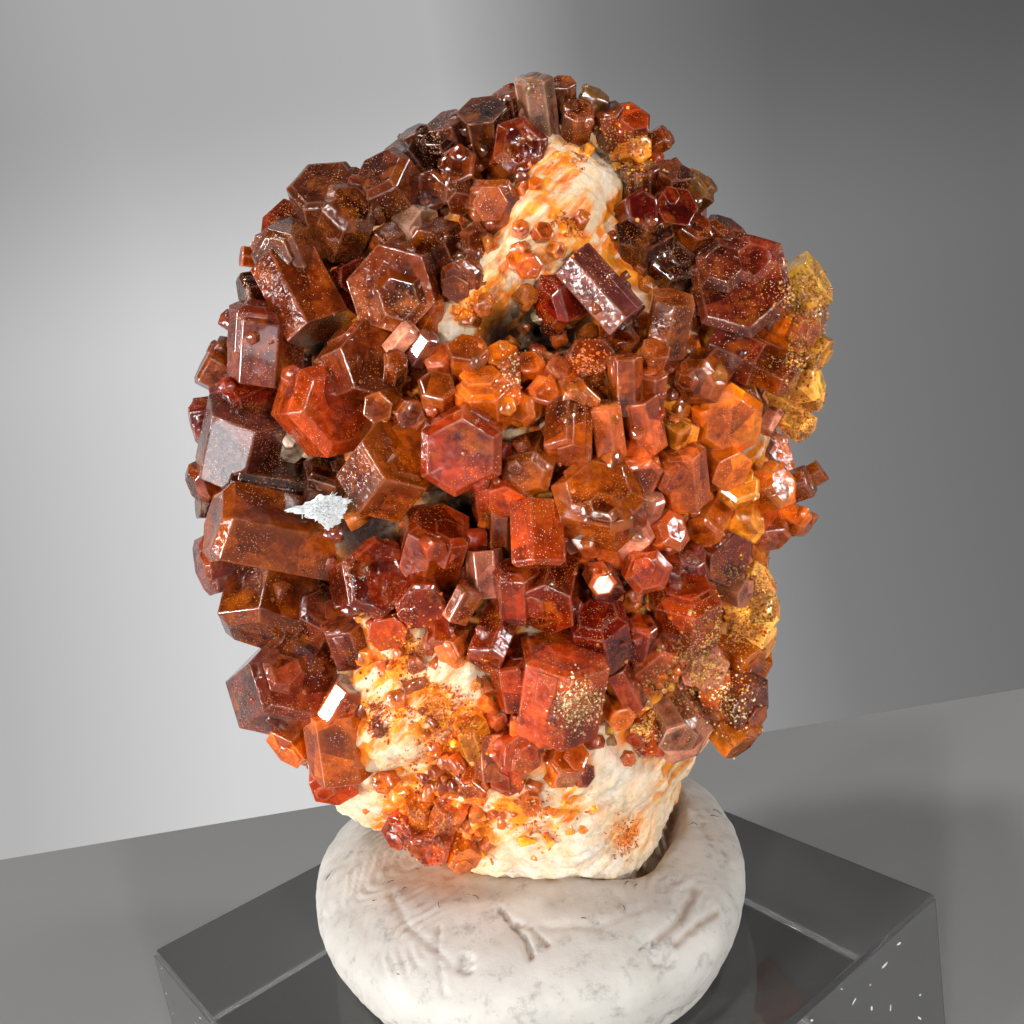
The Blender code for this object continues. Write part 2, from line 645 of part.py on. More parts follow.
def matrix():
    """The rock, with the small crystals that stand alone on it."""
    rock = new_object("matrix", matrix_mesh("matrix"))
    earlier = []
    singles = []
    for k, listed in enumerate(FUSED_TO_MATRIX):
        seed = f"matrix {k}"
        crystal = standing(listed)
        singles.append(new_object(seed, prism_mesh(seed, crystal, seed)))
        earlier.append((crystal, seed))
    bare = grown(rock.data, GAP)
    combine(rock, "UNION", singles)
    rock.data = bodies_of(rock.data)[0]
    finish(rock, "rock", 0.8)
    return rock, bare, earlier


def putty_surface(turn, ring):
    """World point of the putty's skin: ring 0 is the rim of its base and PUTTY_RINGS its middle."""
    radius = outline_radius(PUTTY_OUTLINE, turn)
    if ring < PUTTY_SIDE_RINGS:
        bulge = ring / PUTTY_SIDE_RINGS
        reach = radius * (1 - PUTTY_UNDERCUT * (1 - math.sin(bulge * math.pi / 2)))
        height = PUTTY_HEIGHT * PUTTY_BULGE * bulge
    else:
        climb = (ring - PUTTY_SIDE_RINGS) / (PUTTY_RINGS - PUTTY_SIDE_RINGS) * math.pi / 2
        reach = radius * math.cos(climb) ** 0.9
        height = PUTTY_HEIGHT * (PUTTY_BULGE + (1 - PUTTY_BULGE) * math.sin(climb) ** 0.9)
        height -= PUTTY_DENT * math.exp(-(reach / PUTTY_DENT_RADIUS) ** 2)
    x = PUTTY_CENTRE[0] + reach * math.cos(turn)
    y = PUTTY_CENTRE[1] + reach * math.sin(turn)
    return Vector((x, y, BLOCK_HEIGHT + GAP + height))


def putty(rock, earlier):
    """The putty, with the hollow that the rock's foot made in it."""
    turns = [2 * math.pi * k / PUTTY_SPOKES for k in range(PUTTY_SPOKES)]
    rings = [[putty_surface(turn, ring) for turn in turns] for ring in range(PUTTY_RINGS)]
    foot = Vector((*PUTTY_CENTRE, BLOCK_HEIGHT + GAP))
    top = putty_surface(0, PUTTY_RINGS)
    ball = new_object("mineral_putty", rings_mesh("mineral_putty", rings, foot, top))
    cutters = [new_object("rock cutter", rock.copy())]
    for crystal, seed in earlier:
        centre, reach = reach_of(crystal)
        if centre.z - reach < BLOCK_HEIGHT + PUTTY_HEIGHT:
            cutters.append(new_object("cutter", prism_mesh("cutter", crystal, seed, GAP)))
    combine(ball, "DIFFERENCE", cutters)
    ball.data = bodies_of(ball.data)[0]
    finish(ball, "putty", 0.7)


def block():
    half = BLOCK_SIDE / 2
    corners = [(-half, -half), (half, -half), (half, half), (-half, half)]
    points = [(x, y, 0) for x, y in corners] + [(x, y, BLOCK_HEIGHT) for x, y in corners]
    faces = [(0, 1, 2, 3), (4, 5, 6, 7)] + [(k, (k + 1) % 4, (k + 1) % 4 + 4, k + 4) for k in range(4)]
    slab = new_object("display_block", mesh_of("display_block", points, faces))
    slab.rotation_euler.z = BLOCK_TURN
    bevel = slab.modifiers.new("edges", "BEVEL")
    bevel.width = BLOCK_BEVEL * MM
    bevel.segments = 1
    finish(slab, "acrylic", 0.05)
    return slab


def main():
    for thing in list(bpy.data.objects):
        bpy.data.objects.remove(thing)
    block()
    rock, bare, earlier = matrix()
    clusters = {name: [standing(crystal) for crystal in listed] for name, listed in CLUSTERS.items()}
    clusters.update(strewn_crystals())
    for name, crystals in clusters.items():
        grow_cluster(name, crystals, bare, earlier)
    putty(bare, earlier)
    bpy.context.view_layer.update()


main()
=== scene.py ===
"""Looks for the vanadinite specimen: every crystal cut again in fine detail, the rough matrix rock, the small
crystals and grains in the gaps, the finger-marked putty, the clear block, and the photograph's camera.

Show space, as in the solids' source: right and up on the show plane, out towards the viewing point, in mm.
"""

import math
import random

import bmesh
import bpy
import numpy as np
from mathutils import Matrix, Vector, noise
from mathutils.bvhtree import BVHTree


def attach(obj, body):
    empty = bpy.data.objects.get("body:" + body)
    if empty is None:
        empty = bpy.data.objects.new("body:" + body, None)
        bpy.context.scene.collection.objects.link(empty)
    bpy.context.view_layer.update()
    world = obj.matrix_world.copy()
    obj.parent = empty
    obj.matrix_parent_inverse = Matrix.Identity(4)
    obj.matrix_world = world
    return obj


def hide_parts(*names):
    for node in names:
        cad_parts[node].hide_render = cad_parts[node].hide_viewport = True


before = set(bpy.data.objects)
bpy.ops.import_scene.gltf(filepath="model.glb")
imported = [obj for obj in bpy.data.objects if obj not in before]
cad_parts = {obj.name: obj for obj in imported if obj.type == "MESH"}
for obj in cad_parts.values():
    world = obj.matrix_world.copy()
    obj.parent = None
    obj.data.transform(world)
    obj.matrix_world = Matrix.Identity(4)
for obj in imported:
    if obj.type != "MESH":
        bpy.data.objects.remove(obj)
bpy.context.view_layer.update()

MM = 0.001

# Display block
BLOCK_SIDE = 31.75
BLOCK_HEIGHT = 14.0
BLOCK_TURN = math.radians(36.35)
BLOCK_ROUNDING = 0.245
SCUFFS = 230
SCUFF_SIZES = (0.05, 0.20)
SCUFF_STRETCHES = (1.0, 3.5)
SCUFF_HEIGHT = 0.02
SCUFF_CLEARANCE = 0.004
SCUFFS_NEAR_EDGE = 0.6          # share of the scuffs that lie near the block's top edges

# Putty
PUTTY_CENTRE = (0.8, 0.5)
PUTTY_OUTLINE = (11.8, 12.2, 12.4, 12.6, 13.0, 13.2, 12.0, 11.6, 11.9, 12.1, 13.0, 12.2)
PUTTY_HEIGHT = 6.2
PUTTY_BULGE = 0.42
PUTTY_UNDERCUT = 0.08
PUTTY_DENT = 1.3
PUTTY_DENT_RADIUS = 5.0
PUTTY_LIFT = 0.3                # clearance above the block, as in the solids
PUTTY_SPOKES = 460
PUTTY_RINGS = 100
PUTTY_SIDE_SHARE = 0.3
# Its roughness: size of its lumps, height, and the two measures of how it goes on at smaller sizes.
PUTTY_LUMPS = ((3.2, 0.10, 0.9, 2.0), (0.5, 0.022, 0.7, 2.1))
HOLLOW_GAP = 0.12               # clearance of the putty under the rock's foot
# Right of this x and above this z, both in world mm, the putty dips beside the foot: depth and reach.
DIP_FROM = (3.0, 17.0)
DIP = (1.5, 0.7)
# Round the rest of the foot it is squeezed up: height, distance from the rock, half width.
SQUEEZED = (0.12, 0.5, 0.35)
FOOT_SHADE_REACH = 0.9

# Creases of the putty, as world x and y of their points, with width and depth. The cracks also get painted
# shade.
CREASES = (
    (((-0.6, -6.8), (-0.1, -7.8), (0.5, -8.8), (0.7, -9.8)), 0.13, 0.30),
    (((-0.1, -7.8), (0.9, -8.4), (1.5, -9.4)), 0.10, 0.16),
    (((-3.6, -7.0), (-3.7, -8.6), (-3.5, -10.2)), 0.12, 0.12),
    (((-6.2, -3.6), (-5.2, -6.4), (-3.0, -9.2)), 0.16, 0.10),
    (((6.6, -9.6), (8.0, -8.4), (9.0, -6.6)), 0.16, 0.20),
    (((7.4, -9.8), (8.4, -8.9), (9.8, -7.6)), 0.12, 0.16),
    (((9.6, 3.2), (10.4, 0.6), (10.6, -2.4)), 0.25, 0.14),
    (((1.4, -8.4), (4.0, -8.9), (6.4, -8.0)), 0.16, 0.10),
)
CRACKS = (CREASES[0], CREASES[1], CREASES[4], CREASES[5])
CRACK_SHADE = 0.75
# Pits of the putty: world x and y, radius, depth.
PITS = ((-2.4, -9.4, 0.45, 0.25), (6.6, -10.2, 0.55, 0.40), (6.0, -9.7, 0.35, 0.30), (8.9, 4.4, 0.4, 0.3))
# Finger marks of the putty: world x and y, radius. Their ridges curve round a point beside them.
FINGERPRINTS = ((-7.6, 0.4, 4.6), (-6.0, -6.4, 3.4), (7.4, -6.4, 3.0))
RIDGE_CENTRE = (2.5, -1.5)
RIDGE_SPACING = 0.55
RIDGE_HEIGHT = 0.065
# Dark hairs on the putty: world x and y they are scattered round, how far.
HAIR_PATCHES = ((0.8, -6.5, 4.5), (6.5, -7.0, 3.0), (-6.0, -5.0, 3.0), (9.5, 1.0, 2.0), (1.0, 4.0, 8.0))
HAIRS = 26
HAIR_RADIUS = 0.018
HAIR_LENGTHS = (0.25, 0.8)
HAIR_CURL = 2.0
HAIR_STEPS = 6

# Show space
VIEW_POINT = Vector((3.23, -52.22, 49.98))
VIEW_PITCH = math.radians(13.39)
VIEW_ROLL = math.radians(-9.50)
SHOW_DISTANCE = 52.57
LENS = 36.97

# Matrix
MATRIX_CENTRE = (0.0, 1.0)
MATRIX_MIDDLE_OUT = -2.0
MATRIX_LEAN = 0.12
MATRIX_FRONT = 9.0
MATRIX_BACK = 9.5
MATRIX_OUTLINE = (12.0, 13.2, 14.4, 14.8, 15.6, 17.9, 17.6, 16.2, 14.6, 13.2, 12.4, 11.8,
                  11.8, 12.0, 12.4, 14.6, 17.8, 18.2, 19.9, 20.9, 16.8, 15.2, 12.8, 11.4)
MATRIX_SQUARENESS = 2.5
MATRIX_ROUGHNESS = 0.55
MATRIX_GRAIN = 4.5
ROCK_SPOKES = 340
ROCK_BACK_RINGS = 49
ROCK_FRONT_RINGS = 115
# Its roughness, as for the putty.
ROCK_LUMPS = ((2.4, 0.42, 0.8, 2.1), (0.7, 0.10, 0.6, 2.2))
ROCK_SINK = 0.05                # sinks the roughness by about its own middle
CHIP_SIZE = 0.9
CHIP_DEPTH = 0.16
CHIP_EDGE = 0.35
STAIN_REACH = 0.45              # how far the stain round a crystal goes
STAIN_BY_CRYSTALS = 0.75
STAIN_BEHIND = 0.35
BARE_STAIN = 0.55               # how much paler the bare bands are

# Hollows (positive) and swellings (negative) of the show face: right, up, radius, depth.
RELIEF = (
    (1.2, 8.9, 2.6, 2.6),
    (-2.3, -0.6, 2.4, 2.4),
    (3.4, -2.4, 1.8, 1.6),
    (-9.6, 1.9, 2.2, 2.2),
    (9.4, 3.6, 2.0, 1.0),
    (11.6, -5.4, 1.8, 1.6),
    (0.6, 14.2, 4.5, -0.8),
    (-2.5, -12.5, 5.0, -1.2),
    (3.5, -14.8, 3.5, -0.6),
)

# Hollows whose rock is painted dark, as painted shade: right, up, radius.
SHADED_CAVES = (
    (-2.8, -0.1, 1.9),
    (3.2, -2.3, 1.1),
    (-0.4, 8.6, 1.3),
    (1.6, 8.9, 1.6),
    (-9.4, 8.6, 1.2),
    (-7.4, -0.8, 2.4),
    (-10.0, 2.4, 1.6),
    (-9.0, -4.0, 1.8),
    (-8.6, 4.4, 1.6),
)

# Bare bands of the rock, level with the crystals round them: from right, up to right, up, radius, rise.
BARE_ROCK = (
    (1.6, 18.2, 2.6, 16.8, 1.6, 1.6),
    (2.6, 16.4, 1.4, 12.6, 2.3, 2.0),
    (4.6, 17.6, 5.0, 16.4, 0.9, 0.8),
    (1.0, 12.8, -1.2, 11.2, 2.0, 1.8),
    (-1.2, 11.2, -3.0, 9.4, 1.5, 1.1),
    (11.9, 5.0, 13.2, 2.6, 1.1, 0.9),
    (-0.1, 4.0, 0.4, 3.5, 0.5, 0.5),
    (-7.0, -5.2, -4.4, -7.4, 1.5, 1.0),
    (-7.0, -8.6, -2.6, -7.6, 1.4, 1.2),
    (-7.8, -12.2, -2.4, -9.2, 1.7, 1.2),
    (-9.6, -13.6, -5.6, -13.6, 1.3, 0.5),
    (-1.0, -13.4, 5.4, -13.4, 1.6, 0.8),
    (0.4, -16.6, 5.4, -17.0, 1.8, 0.4),
    (6.4, -12.6, 8.8, -12.0, 1.3, 0.7),
)

# Stains of the rock: right, up, radius, strength.
STAINS = (
    (-6.0, -6.0, 1.6, 0.9),
    (-6.8, -8.2, 1.2, 0.9),
    (-4.2, -8.6, 1.4, 1.0),
    (-3.0, -10.4, 1.6, 1.0),
    (-1.8, -12.6, 1.6, 0.8),
    (-3.6, -15.2, 2.6, 1.1),
    (0.4, -15.0, 1.6, 0.8),
    (2.8, -14.6, 1.2, 0.5),
    (5.8, -16.2, 1.0, 0.7),
    (8.6, -12.2, 2.0, 0.5),
    (2.6, 17.4, 1.2, 0.6),
    (2.6, 13.6, 0.8, 0.9),
    (-0.6, 12.6, 0.5, 0.6),
    (-1.8, 9.9, 0.8, 0.4),
    (12.0, 3.0, 1.5, 0.4),
    (-8.5, -13.0, 1.6, 0.3),
    (-7.0, -10.4, 1.5, 0.8),
    (-5.0, -10.0, 1.2, 0.8),
    (3.0, -15.0, 5.0, 0.16),
    (8.4, -12.6, 2.6, 0.16),
)

# Crystal tones, linear: the body of the crystal. Rims are painted lighter, a painted glow, and cores deeper.
TONES = {
    "orange": (0.46, 0.068, 0.002),
    "glow": (0.80, 0.200, 0.012),
    "amber": (0.27, 0.047, 0.001),
    "red": (0.26, 0.020, 0.002),
    "coral": (0.36, 0.048, 0.008),
    "deep": (0.10, 0.003, 0.001),
    "brown": (0.105, 0.012, 0.001),
    "maroon": (0.105, 0.009, 0.004),
    "plum": (0.085, 0.015, 0.014),
    "umber": (0.058, 0.009, 0.003),
    "russet": (0.17, 0.022, 0.001),
    "garnet": (0.14, 0.008, 0.001),
    # The lilac, pearl and silver tones are pale faces, partly frosting and partly painted glare.
    "lilac": (0.26, 0.125, 0.110),
    "dark": (0.028, 0.004, 0.002),
    "olive": (0.115, 0.036, 0.004),
    "rose": (0.42, 0.115, 0.085),
    "gold": (0.55, 0.220, 0.030),
    "tan": (0.45, 0.190, 0.080),
    "honey": (0.80, 0.320, 0.065),
    "pearl": (0.60, 0.420, 0.410),
    "cream": (0.85, 0.580, 0.400),
    "silver": (0.74, 0.580, 0.640),
}

# A crystal's faces are lighter or darker than its tone, and its ends a little hollow or domed.
SIDE_SHADES = (0.78, 1.22)
END_SHADES = (0.85, 1.25)
END_HOLLOWS = (-0.02, 0.05)     # as a share of its radius
# Waves of a large crystal's faces, in mm, and how much they grow with its width.
WAVE = 0.012
WAVE_GROWTH = 0.008

# Detail of a prism: columns inside each side, rings along it, rings on its end.
FINE = (3, 4, 2)
MEDIUM = (1, 1, 1)
PLAIN = None
FINE_WIDTH = 2.9                # crystals wider than this are cut in fine detail
STEPPED_WIDTH = 1.9             # and the smaller ones grown on crystals wider than this, in medium detail
EDGE_LINE = 0.04                # width of the pale line along an edge, partly wear and partly painted highlight
EDGE_BEVEL = 0.05
STEP_BEVEL = 0.04
SMALL_BEVEL = 0.03
PLAIN_EDGE = 0.4                # how far a plain prism's points count as its edge
CHAMFER_SLOPE = 0.75            # fall of a chamfer for each mm across
THIN_REACH = 0.22               # how deep the painted glow in a crystal's rim reaches, as a share of its radius

# Crystals: right, up, rise of the middle above the matrix, width, length, tilt of the c axis from the line of
# sight, its heading on the show plane (0 right, 90 up), the turn about it, and the tone.
FUSED_TO_MATRIX = (
    (1.45, 13.9, 0.1, 0.95, 0.9, 35, 40, 20, "orange"),
    (0.25, 12.5, 0.1, 0.95, 1.2, 20, 140, 25, "orange"),
    (0.80, 12.35, 0.2, 1.30, 1.0, 15, 300, 5, "orange"),
    (-1.40, 10.35, 0.1, 0.95, 1.0, 30, 250, 0, "amber"),
    (-2.10, 9.70, 0.1, 0.95, 1.0, 25, 160, 20, "amber"),
    (0.90, -14.4, 0.1, 1.10, 1.2, 30, 280, 10, "orange"),
    (-6.30, -13.4, 0.2, 1.10, 1.2, 25, 220, 10, "orange"),
)

CLUSTERS = {
    "crown_crystals": (
        (1.25, 20.10, 0.9, 1.85, 3.2, 78, 99, 28, "lilac"),
        (2.50, 20.55, 0.3, 1.30, 2.0, 60, 92, 20, "brown"),
        (3.85, 20.25, 0.2, 1.40, 1.7, 72, 58, 12, "olive"),
        (-0.10, 20.00, 0.4, 1.50, 2.2, 68, 100, 14, "brown"),
        (-1.35, 18.95, 0.9, 2.40, 2.6, 58, 100, 22, "umber"),
        (-2.95, 18.55, 0.5, 1.80, 2.4, 64, 112, 6, "umber"),
        (-4.50, 18.05, 0.0, 1.60, 2.2, 76, 116, 18, "dark"),
        (-3.40, 17.90, 0.2, 2.20, 2.6, 50, 110, 0, "dark"),
        (-5.05, 17.15, -0.2, 2.50, 2.5, 74, 126, 25, "dark"),
        (0.15, 18.00, 1.2, 2.80, 2.8, 20, 50, 30, "garnet"),
        (-2.45, 16.95, 0.8, 1.90, 2.2, 25, 130, 14, "brown"),
        (-3.70, 16.10, 0.7, 1.90, 2.2, 18, 190, 8, "brown"),
        (-0.95, 15.40, 1.0, 2.50, 2.6, 14, 350, 12, "russet"),
    ),
    "upper_left_crystals": (
        (-5.85, 15.95, 0.9, 2.90, 3.4, 54, 128, 8, "umber"),
        (-5.05, 14.60, 1.0, 2.00, 2.4, 42, 330, 20, "lilac"),
        (-5.80, 13.60, 0.8, 1.90, 2.4, 60, 210, 0, "umber"),
        (-3.75, 13.35, 1.2, 2.20, 2.4, 28, 215, 16, "brown"),
        (-2.10, 13.20, 0.9, 1.80, 2.0, 32, 30, 2, "brown"),
        (-2.35, 11.85, 0.9, 2.10, 2.4, 22, 244, 24, "brown"),
        (-5.65, 11.25, 1.6, 4.10, 4.0, 16, 200, 26, "brown"),
    ),
    "left_shoulder_crystals": (
        (-9.00, 14.90, 0.4, 3.40, 4.0, 50, 102, 18, "umber"),
        (-8.30, 14.50, 1.6, 2.90, 3.2, 36, 66, 4, "umber"),
        (-10.45, 13.60, -0.2, 2.60, 3.2, 50, 142, 12, "maroon"),
        (-10.90, 12.90, 1.1, 3.10, 3.2, 42, 205, 26, "umber"),
        (-10.30, 10.90, 1.5, 3.50, 4.2, 68, 296, 10, "brown"),
        (-8.15, 11.40, 0.2, 2.20, 2.6, 30, 20, 6, "deep"),
        (-12.55, 12.65, -1.0, 1.10, 2.0, 80, 172, 5, "orange"),
        (-12.40, 11.20, -0.6, 1.80, 2.4, 72, 190, 15, "dark"),
    ),
    "left_flank_crystals": (
        (-12.35, 8.45, 1.5, 3.60, 3.6, 76, 84, 22, "maroon"),
        (-14.00, 6.90, -1.0, 2.50, 3.0, 84, 152, 10, "brown"),
        (-14.45, 4.60, -1.2, 2.30, 3.0, 84, 188, 20, "deep"),
        (-13.20, 5.70, 0.4, 2.50, 3.0, 58, 206, 0, "deep"),
        (-13.50, 3.60, 0.9, 3.60, 3.8, 58, 76, 14, "plum"),
        (-10.95, 3.60, 0.7, 2.00, 2.6, 46, 38, 8, "pearl"),
        (-14.75, 1.70, -0.3, 2.10, 2.6, 70, 205, 18, "brown"),
        (-14.60, 0.60, -0.8, 1.80, 2.2, 80, 180, 4, "dark"),
    ),
    "middle_left_crystals": (
        (-9.20, 5.30, 1.5, 4.60, 3.2, 20, 2, 10, "red"),
        (-7.45, 7.50, 1.4, 3.70, 3.6, 26, 24, 24, "brown"),
        (-5.00, 2.90, 1.2, 2.80, 2.0, 16, 92, 16, "russet"),
        (-5.95, 2.10, 1.6, 4.00, 3.2, 44, 52, 2, "russet"),
    ),
    "centre_crystals": (
        (-2.20, 7.30, 1.2, 1.90, 2.4, 48, 88, 20, "russet"),
        (-0.50, 7.30, 1.1, 1.60, 2.2, 34, 80, 15, "orange"),
        (-0.45, 6.15, 1.5, 1.80, 2.0, 22, 268, 3, "orange"),
        (-3.70, 5.70, 1.8, 1.90, 2.2, 36, 92, 11, "russet"),
        (-1.35, 5.50, 1.6, 2.70, 2.4, 54, 96, 25, "orange"),
        (-2.45, 3.35, 2.0, 4.00, 3.6, 18, 250, 18, "garnet"),
        (1.00, 2.50, 1.0, 2.40, 2.6, 32, 248, 8, "russet"),
        (2.90, 4.00, 1.2, 2.50, 2.8, 58, 268, 2, "russet"),
        (3.25, 5.70, 1.0, 1.90, 2.2, 24, 300, 17, "orange"),
        (4.00, 7.35, 0.9, 2.10, 2.4, 26, 98, 24, "brown"),
        (4.75, 3.90, 1.3, 1.70, 3.2, 72, 98, 10, "coral"),
        (-0.20, 1.20, 0.9, 1.90, 2.2, 40, 260, 5, "red"),
        (-1.10, 0.60, 0.6, 1.70, 2.2, 62, 96, 19, "red"),
    ),
    "centre_right_crystals": (
        (5.65, 6.35, 1.6, 1.60, 3.0, 78, 92, 30, "russet"),
        (6.95, 6.00, 0.9, 1.50, 2.4, 60, 84, 16, "coral"),
        (6.60, 4.40, 1.3, 1.90, 2.8, 70, 102, 22, "coral"),
        (8.15, 4.10, 1.0, 1.60, 2.0, 56, 326, 8, "glow"),
        (6.15, 2.30, 1.5, 2.20, 2.4, 42, 300, 14, "coral"),
        (8.60, 1.80, 1.2, 2.20, 3.2, 58, 97, 26, "coral"),
        (4.40, 0.60, 1.7, 4.40, 3.0, 30, 94, 12, "russet"),
        (1.25, -1.15, 2.0, 2.70, 3.3, 80, 272, 6, "red"),
    ),
    "ledge_crystals": (
        (4.40, 11.05, 1.9, 2.25, 4.2, 80, 313, 0, "plum"),
        (2.95, 10.80, 0.6, 2.90, 3.4, 58, 205, 13, "deep"),
        (6.60, 13.00, 0.0, 2.80, 3.0, 48, 92, 7, "dark"),
        (7.70, 11.80, 0.0, 2.30, 2.8, 40, 60, 19, "dark"),
        (5.40, 9.20, 0.3, 1.80, 2.2, 40, 280, 22, "brown"),
    ),
    "upper_right_crystals": (
        (6.40, 16.20, 0.5, 1.80, 2.4, 68, 92, 29, "umber"),
        (6.10, 14.85, 0.9, 1.90, 2.2, 30, 30, 5, "deep"),
        (7.75, 16.05, 0.3, 1.80, 2.4, 60, 70, 14, "brown"),
        (8.75, 15.75, -0.2, 1.90, 2.4, 74, 40, 23, "olive"),
        (7.80, 14.70, 0.8, 2.10, 2.4, 36, 48, 9, "deep"),
        (8.90, 13.60, 0.5, 1.90, 2.4, 50, 66, 18, "brown"),
        (10.20, 13.30, 0.1, 2.20, 2.6, 70, 62, 2, "brown"),
    ),
    "top_right_knob": (
        (5.75, 19.00, 0.2, 2.00, 2.2, 48, 70, 12, "red"),
        (4.90, 19.20, 0.2, 1.50, 2.0, 58, 104, 24, "brown"),
        (6.95, 18.35, -0.6, 1.20, 2.0, 78, 28, 6, "brown"),
        (5.95, 18.10, 0.3, 1.30, 1.8, 40, 10, 20, "glow"),
    ),
    "right_shoulder_crystals": (
        (11.25, 10.80, 1.0, 4.90, 4.4, 16, 84, 20, "maroon"),
        (7.80, 9.35, 1.3, 2.20, 3.0, 68, 80, 8, "russet"),
        (11.20, 7.90, 1.9, 2.30, 2.6, 78, 336, 4, "maroon"),
        (12.95, 7.10, 1.6, 2.30, 2.6, 76, 334, 2, "russet"),
        (9.60, 6.75, 1.0, 2.40, 2.4, 26, 230, 15, "russet"),
        (10.75, 4.75, 0.8, 3.40, 2.6, 18, 300, 25, "orange"),
        (13.60, 9.10, 0.4, 2.20, 2.6, 60, 346, 11, "orange"),
        (14.15, 11.10, -1.2, 2.50, 2.8, 76, 32, 21, "gold"),
        (14.15, 9.70, -1.2, 2.40, 2.8, 80, 356, 3, "gold"),
        (14.30, 8.30, -0.8, 2.00, 2.8, 76, 330, 13, "gold"),
        (14.10, 6.30, -0.6, 1.70, 2.4, 74, 10, 7, "honey"),
        (14.60, 5.90, -1.2, 1.50, 2.0, 80, 355, 17, "honey"),
        (13.95, 4.70, -0.4, 1.50, 2.2, 66, 320, 26, "honey"),
    ),
    "right_edge_crystals": (
        (10.40, 2.60, 0.8, 2.10, 2.4, 46, 310, 10, "orange"),
        (11.20, 1.00, 0.9, 2.00, 2.2, 28, 60, 22, "glow"),
        (12.60, 1.20, 0.4, 2.20, 2.6, 48, 14, 6, "orange"),
        (13.80, 1.20, -0.5, 1.60, 2.4, 72, 20, 18, "brown"),
        (11.60, -0.30, 0.8, 1.80, 2.2, 36, 270, 28, "glow"),
        (12.75, -0.50, 0.2, 1.80, 2.4, 56, 290, 12, "coral"),
        (13.90, -0.20, -0.6, 1.50, 2.2, 74, 330, 8, "orange"),
        (9.90, -0.60, 0.7, 1.70, 2.2, 36, 240, 16, "orange"),
    ),
    "right_druse": (
        (10.00, -2.00, 0.7, 2.60, 2.8, 48, 330, 4, "maroon"),
        (8.80, -2.60, 0.4, 2.00, 2.4, 30, 260, 20, "deep"),
        (11.70, -3.90, -0.3, 1.80, 2.4, 66, 30, 24, "honey"),
        (12.05, -4.90, -0.5, 1.80, 2.4, 70, 2, 14, "honey"),
        (11.80, -6.10, -0.5, 1.80, 2.4, 68, 340, 0, "honey"),
        (11.30, -7.00, -0.2, 1.70, 2.2, 60, 320, 9, "amber"),
    ),
    "lower_left_crystals": (
        (-11.90, -1.15, 1.5, 4.20, 6.2, 74, 168, 8, "russet"),
        (-11.80, 1.00, 0.6, 3.40, 4.8, 78, 172, 20, "dark"),
        (-13.90, -2.35, 0.4, 3.00, 3.4, 72, 196, 2, "maroon"),
        (-9.35, 1.30, 0.3, 2.40, 2.8, 46, 82, 16, "dark"),
        (-12.05, -4.85, 1.3, 4.40, 3.0, 68, 258, 12, "brown"),
        (-9.60, -5.45, 1.0, 2.70, 2.8, 36, 64, 26, "maroon"),
        (-8.25, -6.50, 0.9, 1.90, 2.4, 54, 110, 6, "maroon"),
    ),
    "left_foot_crystals": (
        (-11.10, -8.60, 1.1, 4.60, 4.4, 22, 36, 12, "maroon"),
        (-8.60, -11.40, 1.0, 3.00, 3.6, 66, 100, 22, "orange"),
        (-8.45, -9.40, 1.4, 1.70, 2.2, 60, 60, 8, "silver"),
        (-8.90, -12.90, 0.5, 2.30, 2.4, 50, 270, 14, "red"),
        (-10.60, -11.10, -0.2, 2.20, 2.4, 66, 230, 3, "orange"),
    ),
    "lower_centre_crystals": (
        (-3.95, -1.70, 1.7, 3.60, 3.4, 54, 74, 10, "red"),
        (-7.10, -3.25, 1.6, 3.60, 3.2, 17, 16, 24, "garnet"),
        (-1.35, -3.05, 1.6, 1.60, 2.4, 82, 95, 30, "rose"),
        (-4.60, -4.10, 1.2, 2.60, 2.6, 34, 280, 18, "garnet"),
        (-0.85, -6.20, 1.1, 2.10, 3.2, 58, 248, 5, "garnet"),
        (0.15, -3.90, 1.2, 2.40, 2.8, 58, 92, 20, "garnet"),
        (1.90, -3.95, 1.2, 3.00, 3.0, 42, 256, 15, "garnet"),
        (-6.05, -5.60, 0.9, 1.90, 2.2, 30, 250, 7, "red"),
    ),
    "lower_right_crystals": (
        (2.50, -8.70, 1.7, 4.20, 4.4, 56, 80, 14, "red"),
        (0.10, -8.40, 1.2, 2.00, 2.6, 58, 100, 24, "red"),
        (1.30, -10.30, 1.0, 2.50, 2.4, 40, 260, 6, "coral"),
        (8.55, -5.10, 1.3, 3.40, 3.2, 48, 84, 16, "red"),
        (4.50, -6.05, 0.9, 2.80, 3.0, 40, 102, 2, "deep"),
        (6.90, -7.40, 1.1, 1.80, 2.8, 60, 38, 10, "coral"),
        (9.40, -7.30, 0.7, 2.20, 2.4, 44, 300, 19, "rose"),
    ),
    "lower_right_edge_crystals": (
        (8.05, -10.60, 0.8, 3.00, 3.0, 48, 300, 12, "rose"),
        (6.90, -10.90, 0.5, 2.00, 2.2, 40, 250, 4, "red"),
        (10.90, -9.20, 0.0, 2.90, 3.0, 62, 330, 22, "maroon"),
        (10.15, -8.90, 0.8, 1.80, 2.4, 54, 96, 7, "coral"),
        (10.70, -10.60, 0.0, 2.20, 2.8, 72, 306, 16, "amber"),
    ),
    "cave_crystals": (
        (4.80, -1.75, 0.9, 1.80, 2.6, 50, 100, 23, "silver"),
        (7.45, -1.20, 1.1, 1.90, 2.4, 44, 26, 18, "coral"),
        (6.55, -2.80, 1.3, 2.20, 2.4, 22, 310, 1, "red"),
        (7.70, -3.00, 0.6, 1.60, 2.0, 36, 260, 12, "garnet"),
    ),
    "apron_crystals": (
        (-1.00, -12.10, 0.8, 1.70, 2.4, 72, 94, 30, "coral"),
        (0.15, -11.80, 0.9, 2.00, 2.2, 30, 320, 10, "red"),
        (-0.10, -12.90, 0.8, 1.70, 2.0, 40, 250, 20, "red"),
        (-1.90, -11.20, 0.7, 1.60, 2.0, 46, 110, 5, "glow"),
        (-1.60, -13.40, 0.7, 1.60, 2.2, 50, 240, 15, "orange"),
    ),
    "red_button_crystal": (
        (2.65, -12.60, 0.5, 1.90, 2.0, 28, 60, 8, "orange"),
